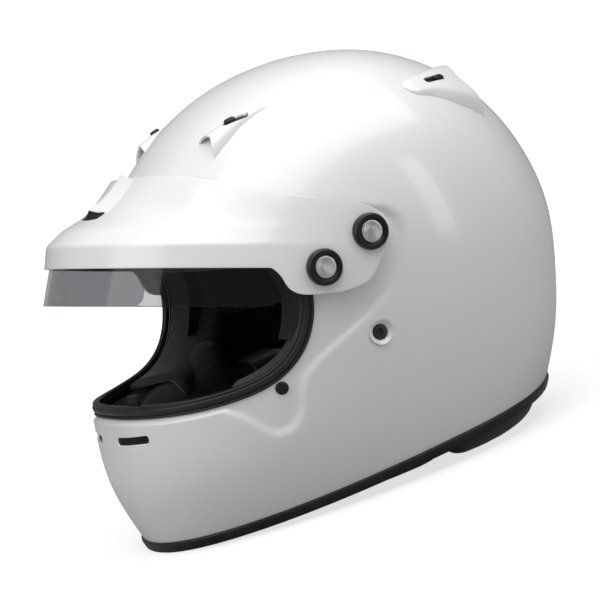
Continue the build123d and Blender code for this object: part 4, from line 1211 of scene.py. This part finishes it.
class HELMET_OT_ducts(bpy.types.Operator):
    """Air ducts on the crown and their sliders"""
    bl_idname = "helmet.ducts"
    bl_label = "Crown ducts"

    def execute(self, context):
        for name, duct in DUCTS.items():
            x, y, length, _, heights, heading, sense = duct
            origin, ahead, across, off = duct_frame(x, y, heading)
            middle = SLOT_SHARE * length
            before, after = (duct_roof(middle + s, length, heights) for s in (-0.5, 0.5))
            run = ahead + off * (after - before) * sense
            run = sense * run / np.linalg.norm(run)
            rise = np.cross(run, across) * np.sign(np.cross(run, across) @ off)
            top = origin + sense * middle * ahead + duct_roof(np.array(middle), length, heights) * off

            def slot(points):
                local = points - top
                a, b = local @ run, local @ across
                return np.hypot(a - np.clip(a, -SLOT_REACH, SLOT_REACH), b) - SLOT_RADIUS

            points, faces, _ = trimmed_grid(lambda u, v: duct_surface(duct, u, v), np.linspace(0, 1, 97),
                                            np.linspace(-1, 1, 73), (slot,), False)
            # Painted shade: a black sheet a little under each duct's roof stands for the shade in the passage
            # below it.
            u, v = np.meshgrid(np.linspace(0.22, 0.82, 31), np.linspace(-1, 1, 31), indexing="ij")
            lining = duct_surface(duct, u, v, 1.5, 0.8).reshape(-1, 3)
            knob, foot = (knob_rings(top + run * KNOB_START, run, across, rise, rings)
                          for rings in (KNOB, FOOT))
            rings = knob.shape[1]
            both = np.vstack((knob.reshape(-1, 3), foot.reshape(-1, 3)))
            shape = grid_faces(len(KNOB), rings, wrap_columns=True) + \
                grid_faces(len(FOOT), rings, wrap_columns=True, start=len(KNOB) * rings)
            for side, tag in SIDES:
                mirror = np.array([side, 1, 1])
                piece = upright(new_piece(f"{name}_duct_shell_{tag}", points * mirror, faces), off * mirror)
                dress(walled(piece, DUCT_WALL, 0.3), "duct", "duct_paint", "helmet", f"{name}_duct_{tag}")
                # The black sheet under the roof is painted shade.
                piece = new_piece(f"{name}_duct_shade_sheet_{tag}", lining * mirror, grid_faces(31, 31))
                dress(upright(piece, off * mirror), "nylon", "black_nylon", "helmet")
                piece = outward(new_piece(f"{name}_knob_{tag}", both * mirror, shape))
                dress(piece, "nylon", "slider_plastic", f"{name}_{tag}_slide", f"{name}_slider_{tag}")
        return {"FINISHED"}


CHEEK_CORE = (64.0, -48.0, 45.0)
CHEEK = np.array([
    (-113.2, 1.0), (-117.0, 32.4), (-111.7, 67.2), (-85.1, 79.2), (-63.8, 89.6), (-50.9, 99.6),
    (-39.8, 97.6), (-36.5, 72.7), (-9.1, 70.7), (6.8, 70.5), (11.4, 49.8), (11.9, 1.0),
])
CHEEK_INNER, CHEEK_CROWN, CHEEK_EDGE, CHEEK_SHARE, CHEEK_FOOT = 58.0, 14.0, 72.0, 0.998, 0.4
ROLL_HEIGHT, ROLL_HALF, ROLL_DEPTH, ROLL_POWER, ROLL_END = 13.6, 13.0, -19.3, 0.62, 0.03
CROWN_DEPTH, CROWN_THICK, CROWN_EDGE, QUILT_PITCH = -43.6, 9.0, 7.0, 34.0
CROWN_OUTLINE = np.array([
    (-213, 214), (-60.8, 171.8), (-38.0, 139.4), (-28.9, 107.1), (15.2, 99.6), (213, 84.7), (213, 299),
    (-213, 299),
])
# Across and height of the rolled edge beside the seal
FACE_ROLL = np.array([
    (1.5, -6.4), (-0.8, -8.4), (-1.8, -16), (-1.6, -27), (0, -37), (4, -44.5), (9.5, -47.6), (15, -46.5),
    (14.5, -43), (8, -39.5), (4, -32), (3.6, -8),
])
# Solids that show as they are, with their finishes
BARE = {
    "impact_liner": "foam", "chin_liner": "foam", "chin_vent_screens": "screen", "chin_vent_shutter": "nylon",
    "peak_inserts": "zinc", "anchor_inserts": "zinc", "strap_hangers": "zinc", "strap_rings": "ring",
    "strap_snap": "ring",
}


def cheek_cushions():
    """Both cheek cushions: a crowned face over the side view's outline, with a back on the foam."""
    centre = CHEEK.mean(0)
    loop = np.vstack((CHEEK, CHEEK[:1]))
    line = line_at(loop, np.linspace(0, run_of(loop)[-1], 121)[:-1])
    for _ in range(3):
        line = (np.roll(line, 1, 0) + 2 * line + np.roll(line, -1, 0)) / 4
    # Ring r of the face is the outline drawn in to r; its x falls by the crown towards the edge.
    rings = []
    for r in np.linspace(0.04, 0.995, 34):
        x = CHEEK_INNER + CHEEK_CROWN * (1 - (1 - r ** 5) ** 0.5)
        rings.append(np.column_stack((np.full(len(line), x), centre + (line - centre) * r)))
    edge = centre + (line - centre) * CHEEK_SHARE
    far = skin_side(edge[:, 0], np.maximum(edge[:, 1], CHEEK_FOOT), SOFT_DEPTH)
    for share in np.linspace(0.15, 1.0, 12):
        x = CHEEK_EDGE + (np.maximum(far, CHEEK_EDGE + 2) - CHEEK_EDGE) * share
        rings.append(np.column_stack((x, edge)))
    flat = np.concatenate(rings)
    flat[:, 2] = np.maximum(flat[:, 2], CHEEK_FOOT)
    count, columns = len(flat), len(line)
    last = count - columns
    flat = np.vstack((flat, (CHEEK_INNER, *centre), (flat[last:, 0].mean(), *centre)))
    faces = grid_faces(len(rings), columns, wrap_columns=True)
    faces += [[count, (k + 1) % columns, k] for k in range(columns)]
    faces += [[count + 1, last + k, last + (k + 1) % columns] for k in range(columns)]
    flat = drawn_in(flat, CHEEK_CORE)
    left = puffed(outward(new_piece("cheek_cushion_left", flat, faces)), 2.5, CHEEK_CORE)
    right = rounded(new_piece("cheek_cushion_right", flat, faces))
    right.data = left.data.copy()
    right.data.transform(Matrix.Scale(-1, 4, (1, 0, 0)))
    right.data.flip_normals()
    return left, right


def neck_cushion():
    """Neck roll: a section with rounded corners, carried round the back and drawn together at its ends."""
    phi = np.linspace(0, 2 * np.pi, 41)[:-1]
    box = np.stack([np.sign(f) * np.abs(f) ** ROLL_POWER for f in (np.cos(phi), np.sin(phi))], -1)
    t = np.linspace(0, 1, 121)
    nearness = 1 - np.minimum(t, 1 - t) / ROLL_END
    close = np.clip(np.sqrt(np.clip(1 - nearness.clip(0) ** 2, 0, None)), 0.03, 1)
    half = (ROLL_HALF * close - 0.35 * np.sin(t * 2 * np.pi * 26) ** 8)[:, None]
    depth, z = half * box[:, 0] + ROLL_DEPTH, ROLL_HEIGHT + half * box[:, 1]
    first = np.pi / 2 - (CROWN_Y - 19.0) / (REAR_REACH * 0.8)
    turn = (first + 2 * (np.pi - first) * t)[:, None] + 0 * z
    points = skin(np.sqrt(1 - z / (HEIGHT + depth)), turn, depth)
    faces = grid_faces(121, 40, wrap_columns=True) + [list(range(40)), list(range(120 * 40, 121 * 40))[::-1]]
    return puffed(outward(new_piece("neck_cushion", points.reshape(-1, 3), faces)), 1.5, (0, CROWN_Y, 60.0))


def crown_lining():
    """Crown lining: a sheet inside the foam, stuffed to a rounded edge and quilted in squares."""
    def within(points):
        return -outline_distance(points[..., 1:], CROWN_OUTLINE)

    turns = np.radians(np.linspace(-180, 180, 145)[:-1])
    points, faces, _ = trimmed_grid(lambda row, turn: skin(row, turn, CROWN_DEPTH),
                                    np.linspace(0.02, 0.8, 70), turns, (within,), True)
    rim = np.clip(within(points) / CROWN_EDGE, 0, 1)
    quilt = np.abs(np.sin(points[:, :2] * np.pi / QUILT_PITCH)).min(1)
    thick = 0.5 + CROWN_THICK * np.sqrt(1 - (1 - rim) ** 2) * (0.72 + 0.28 * np.minimum(1, quilt * 3))
    normals = skin_normal(*skin_params(points, CROWN_DEPTH), CROWN_DEPTH)
    return stuffed("crown_lining", points, faces, normals, thick)


def face_lining():
    """Face lining: a rolled edge of mesh cloth beside the seal, over the brow and down to the cheeks."""
    path, normals = eyeport_path()
    high = np.flatnonzero((path[:, 2] > 99) | (path[:, 1] > -100))
    # The path starts at the chin, so the kept part may run over its end.
    split = np.argmax(np.diff(high) > 1) + 1 if (np.diff(high) > 1).any() else 0
    order = np.r_[high[split:], high[:split]]
    path, normals = path[order], normals[order]
    count = len(FACE_ROLL)
    loop = np.vstack((FACE_ROLL, FACE_ROLL[:1]))
    at = np.linspace(0, count, 4 * count + 1)[:-1]
    profile = np.stack([even_curve(np.arange(count + 1), values)(at) for values in loop.T], -1)
    return carried("face_lining", path, normals, turned_out(path, normals, profile), closed=False)


class HELMET_OT_pads(bpy.types.Operator):
    """Cheek pads, crown lining and neck roll"""
    bl_idname = "helmet.pads"
    bl_label = "Pads and lining"

    def execute(self, context):
        for piece, tag in zip(cheek_cushions(), ("left", "right")):
            dress(piece, "mesh", "pad_mesh", "helmet", f"cheek_pad_{tag}")
        dress(neck_cushion(), "roll", "roll_fabric", "helmet", "neck_roll")
        dress(crown_lining(), "lining", "lining_fabric", "helmet", "crown_pad")
        dress(face_lining(), "mesh", "pad_mesh", "helmet")
        for name, key in BARE.items():
            painted(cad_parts[name], key)
        return {"FINISHED"}


STRAP_Y, STRAP_TOP, STRAP_LEFT, STRAP_RIGHT = -13.98, 74.45, 52.2, -54.94
LOOP_HEIGHT, LOOP_RADIUS = 30.5, 4.5
WEB = ((-12, 0), (-12, 0.75), (-11, 1.0), (-9, 0.86), (9, 0.86), (11, 1.0), (12, 0.75), (12, -0.75),
       (11, -1.0), (9, -0.86), (-9, -0.86), (-11, -1.0), (-12, -0.75), (-12, 0))
# Rows of stitches: the webbing's x and the lowest height
STITCHES = {"left": (STRAP_LEFT, 38.0), "left_top": (STRAP_LEFT, 54.0), "right": (STRAP_RIGHT, 24.0)}


class HELMET_OT_straps(bpy.types.Operator):
    """Chin strap webbing in two parts, stowed along the cheek cushions"""
    bl_idname = "helmet.straps"
    bl_label = "Straps"

    def execute(self, context):
        hang = float(skin_side(np.array(STRAP_Y), np.array(STRAP_TOP))) - 7.0
        web = round_profile(WEB, 0.3, 3)[:-1]

        def ribbon(name, *corners):
            line = round_profile(corners, 4.0, 9)
            run = run_of(line)
            line = line_at(line, np.unique(np.r_[run, np.arange(0, run[-1], 2.0)]))
            path = np.column_stack((line[:, 0], np.full(len(line), STRAP_Y), line[:, 1]))
            normals = np.cross(np.gradient(path, axis=0), (0, 1.0, 0))
            normals /= np.linalg.norm(normals, axis=1, keepdims=True)
            return carried(name, path, normals, web, closed=False)

        piece = ribbon("strap_web_left", (hang, STRAP_TOP), (STRAP_LEFT, STRAP_TOP), (STRAP_LEFT, 34.8))
        dress(piece, "webbing", "strap_webbing", "helmet", "strap_left")
        t = np.linspace(0, 2 * np.pi, 37)[:-1]
        normals = np.column_stack((np.cos(t), 0 * t, np.sin(t)))
        path = normals * LOOP_RADIUS + (STRAP_LEFT, STRAP_Y, LOOP_HEIGHT)
        dress(carried("strap_loop", path, normals, web), "webbing", "strap_webbing", "helmet")
        fold = STRAP_RIGHT + 3.0
        piece = ribbon("strap_web_right", (-hang, STRAP_TOP), (STRAP_RIGHT, STRAP_TOP), (STRAP_RIGHT, 16.0),
                       (fold, 16.0), (fold, 60.0))
        dress(piece, "webbing", "strap_webbing", "helmet", "strap_right")
        # Box stitching stands a little proud of the webbing: two upright rows and one along their foot.
        ring = np.array([(a, b) for a in np.linspace(-1, 1, 7) for b in np.linspace(0, 2 * np.pi, 9)[:-1]])
        long, wide = 1.05 * ring[:, :1], 0.28 * np.sqrt(1.02 - ring[:, :1] ** 2)
        around, out = wide * np.cos(ring[:, 1:]), wide * np.sin(ring[:, 1:])
        upright_stitch, level_stitch = np.hstack((out, around, long)), np.hstack((out, long, around))
        for tag, (x, low) in STITCHES.items():
            proud = x - 0.98 * np.sign(x)
            stitches = [upright_stitch + (proud, STRAP_Y + s, low + k + 1.0) for s in (-8.0, 8.0)
                        for k in np.arange(0, 12, 3.0)]
            stitches += [level_stitch + (proud, STRAP_Y + k + 1.6, low) for k in np.arange(-8, 8, 3.2)]
            faces = []
            for start in range(0, 56 * len(stitches), 56):
                faces += grid_faces(7, 8, wrap_columns=True, start=start)
                faces += [list(range(start, start + 8)), list(range(start + 55, start + 47, -1))]
            piece = outward(new_piece(f"strap_stitches_{tag}", np.vstack(stitches), faces))
            dress(piece, "thread", "strap_webbing", "helmet")
        return {"FINISHED"}


# Camera in metres: what it looks at, how far off, its turn round from the face, lens and film width
TARGET, CAMERA_FAR, CAMERA_TURN, LENS, FILM = Vector((0, -0.004, 0.1083)), 1.8, np.radians(68.0), 179.3, 36.0
# Backdrop in metres: its half width and whole run, the floor up to the bend, the bend's run and radius
SWEEP_HALF, SWEEP_RUN, FLOOR_RUN, BEND_RUN, BEND_RADIUS, SWEEP_BACK = 4.0, 7.0, 4.4, 1.2, 0.76, 2.6


class HELMET_OT_studio(bpy.types.Operator):
    """Floor, backdrop, lamps and camera"""
    bl_idname = "helmet.studio"
    bl_label = "Studio"

    def execute(self, context):
        sizes = context.scene.helmet_studio
        a, p = CAMERA_TURN, PITCH
        right = Vector((np.cos(a), np.sin(a) * np.cos(p), -np.sin(a) * np.sin(p)))
        up = Vector((0, np.sin(p), np.cos(p)))
        back = Vector((np.sin(a), -np.cos(a) * np.cos(p), np.cos(a) * np.sin(p)))
        place = TARGET + back * CAMERA_FAR
        camera = bpy.data.objects.new("camera", bpy.data.cameras.new("camera"))
        camera.matrix_world = Matrix([(right[k], up[k], back[k], place[k]) for k in range(3)]
                                     + [(0, 0, 0, 1)])
        camera.data.lens, camera.data.sensor_width = LENS, FILM
        context.scene.collection.objects.link(camera)
        context.scene.camera = camera

        u, v = np.meshgrid(np.linspace(-1, 1, 5), np.linspace(0, 1, 64), indexing="ij")
        run = v * SWEEP_RUN
        bend = np.clip((run - FLOOR_RUN) / BEND_RUN, 0, 1) * np.pi / 2
        away = -Vector((back.x, back.y)).normalized()
        along = np.minimum(run, FLOOR_RUN) - SWEEP_BACK + BEND_RADIUS * np.sin(bend)
        rise = BEND_RADIUS * (1 - np.cos(bend)) + np.maximum(run - FLOOR_RUN - BEND_RUN, 0)
        points = np.stack((along * away.x - u * SWEEP_HALF * away.y,
                           along * away.y + u * SWEEP_HALF * away.x, rise), -1)
        floor = new_piece("studio_sweep", points.reshape(-1, 3) * 1000, grid_faces(5, 64))
        tone = tuple(sizes.floor_colour)
        material, tree, shader = finish("studio_paper", tone, 0.8)
        tinted(tree, shader, noise(tree, 3.0, 2.0), [c * 0.99 for c in tone], tone)
        # The camera and glass see the paper lit up to white; its shadows stay under the helmet.
        lift = between(tree, length_of(tree, object_place(tree)), sizes.paper_lift, 1.0, 0.25, 1.1)
        path = added(tree, "LightPath")
        seen = reckoned(tree, "MAXIMUM", path.outputs["Is Camera Ray"], path.outputs["Is Transmission Ray"])
        shader.inputs["Emission Color"].default_value = (1, 1, 1, 1)
        tree.links.new(reckoned(tree, "MULTIPLY", lift, seen), shader.inputs["Emission Strength"])
        floor.data.materials.append(material)

        def lamp(name, offset, size, power):
            light = bpy.data.lights.new(name, "AREA")
            light.shape, light.size, light.size_y, light.energy = "RECTANGLE", size[0], size[1], power
            piece = bpy.data.objects.new(name, light)
            piece.location = TARGET + right * offset[0] + up * offset[1] + back * offset[2]
            aim = Vector((0, 0, 0.12)) - piece.location
            piece.rotation_euler = aim.to_track_quat("-Z", "Y").to_euler()
            context.scene.collection.objects.link(piece)

        lamp("overhead", (-0.3, 1.7, 0.5), (2.6, 2.2), sizes.key_power)
        lamp("left", (-1.9, 0.5, 0.9), (1.2, 1.6), sizes.side_power)
        lamp("strip", (1.25, 0.5, 1.0), (0.25, 1.3), sizes.strip_power)
        world = bpy.data.worlds.new("room")
        context.scene.world = world
        world.use_nodes = True
        room, tree = world.node_tree.nodes["Background"], world.node_tree
        room.inputs["Color"].default_value = (0.93, 0.94, 0.96, 1)
        # Past the edge of the paper the camera sees white too.
        look = added(tree, "LightPath").outputs["Is Camera Ray"]
        tree.links.new(between(tree, look, sizes.room_light, 1.12), room.inputs["Strength"])
        context.scene.view_settings.view_transform = "Standard"
        return {"FINISHED"}


class HELMET_PT_panel(bpy.types.Panel):
    """Steps that build the helmet"""
    bl_label = "Racing Helmet"
    bl_idname = "HELMET_PT_panel"
    bl_space_type = "VIEW_3D"
    bl_region_type = "UI"
    bl_category = "Helmet"

    def draw(self, context):
        for step in STEPS:
            self.layout.operator(step.bl_idname)
        for group in (context.scene.helmet_shell, context.scene.helmet_studio):
            for key in group.bl_rna.properties.keys():
                if key not in ("rna_type", "name"):
                    self.layout.prop(group, key)


STEPS = (HELMET_OT_shell, HELMET_OT_seal, HELMET_OT_trim, HELMET_OT_peak, HELMET_OT_shade, HELMET_OT_screws,
         HELMET_OT_ducts, HELMET_OT_pads, HELMET_OT_straps, HELMET_OT_studio)
CLASSES = (ShellSizes, StudioSizes, *STEPS, HELMET_PT_panel)


def register():
    for part in CLASSES:
        bpy.utils.register_class(part)
    bpy.types.Scene.helmet_shell = bpy.props.PointerProperty(type=ShellSizes)
    bpy.types.Scene.helmet_studio = bpy.props.PointerProperty(type=StudioSizes)


def unregister():
    del bpy.types.Scene.helmet_shell
    del bpy.types.Scene.helmet_studio
    for part in reversed(CLASSES):
        bpy.utils.unregister_class(part)


def main():
    register()
    for step in STEPS:
        group, name = step.bl_idname.split(".")
        getattr(getattr(bpy.ops, group), name)()


if __name__ == "__main__":
    main()
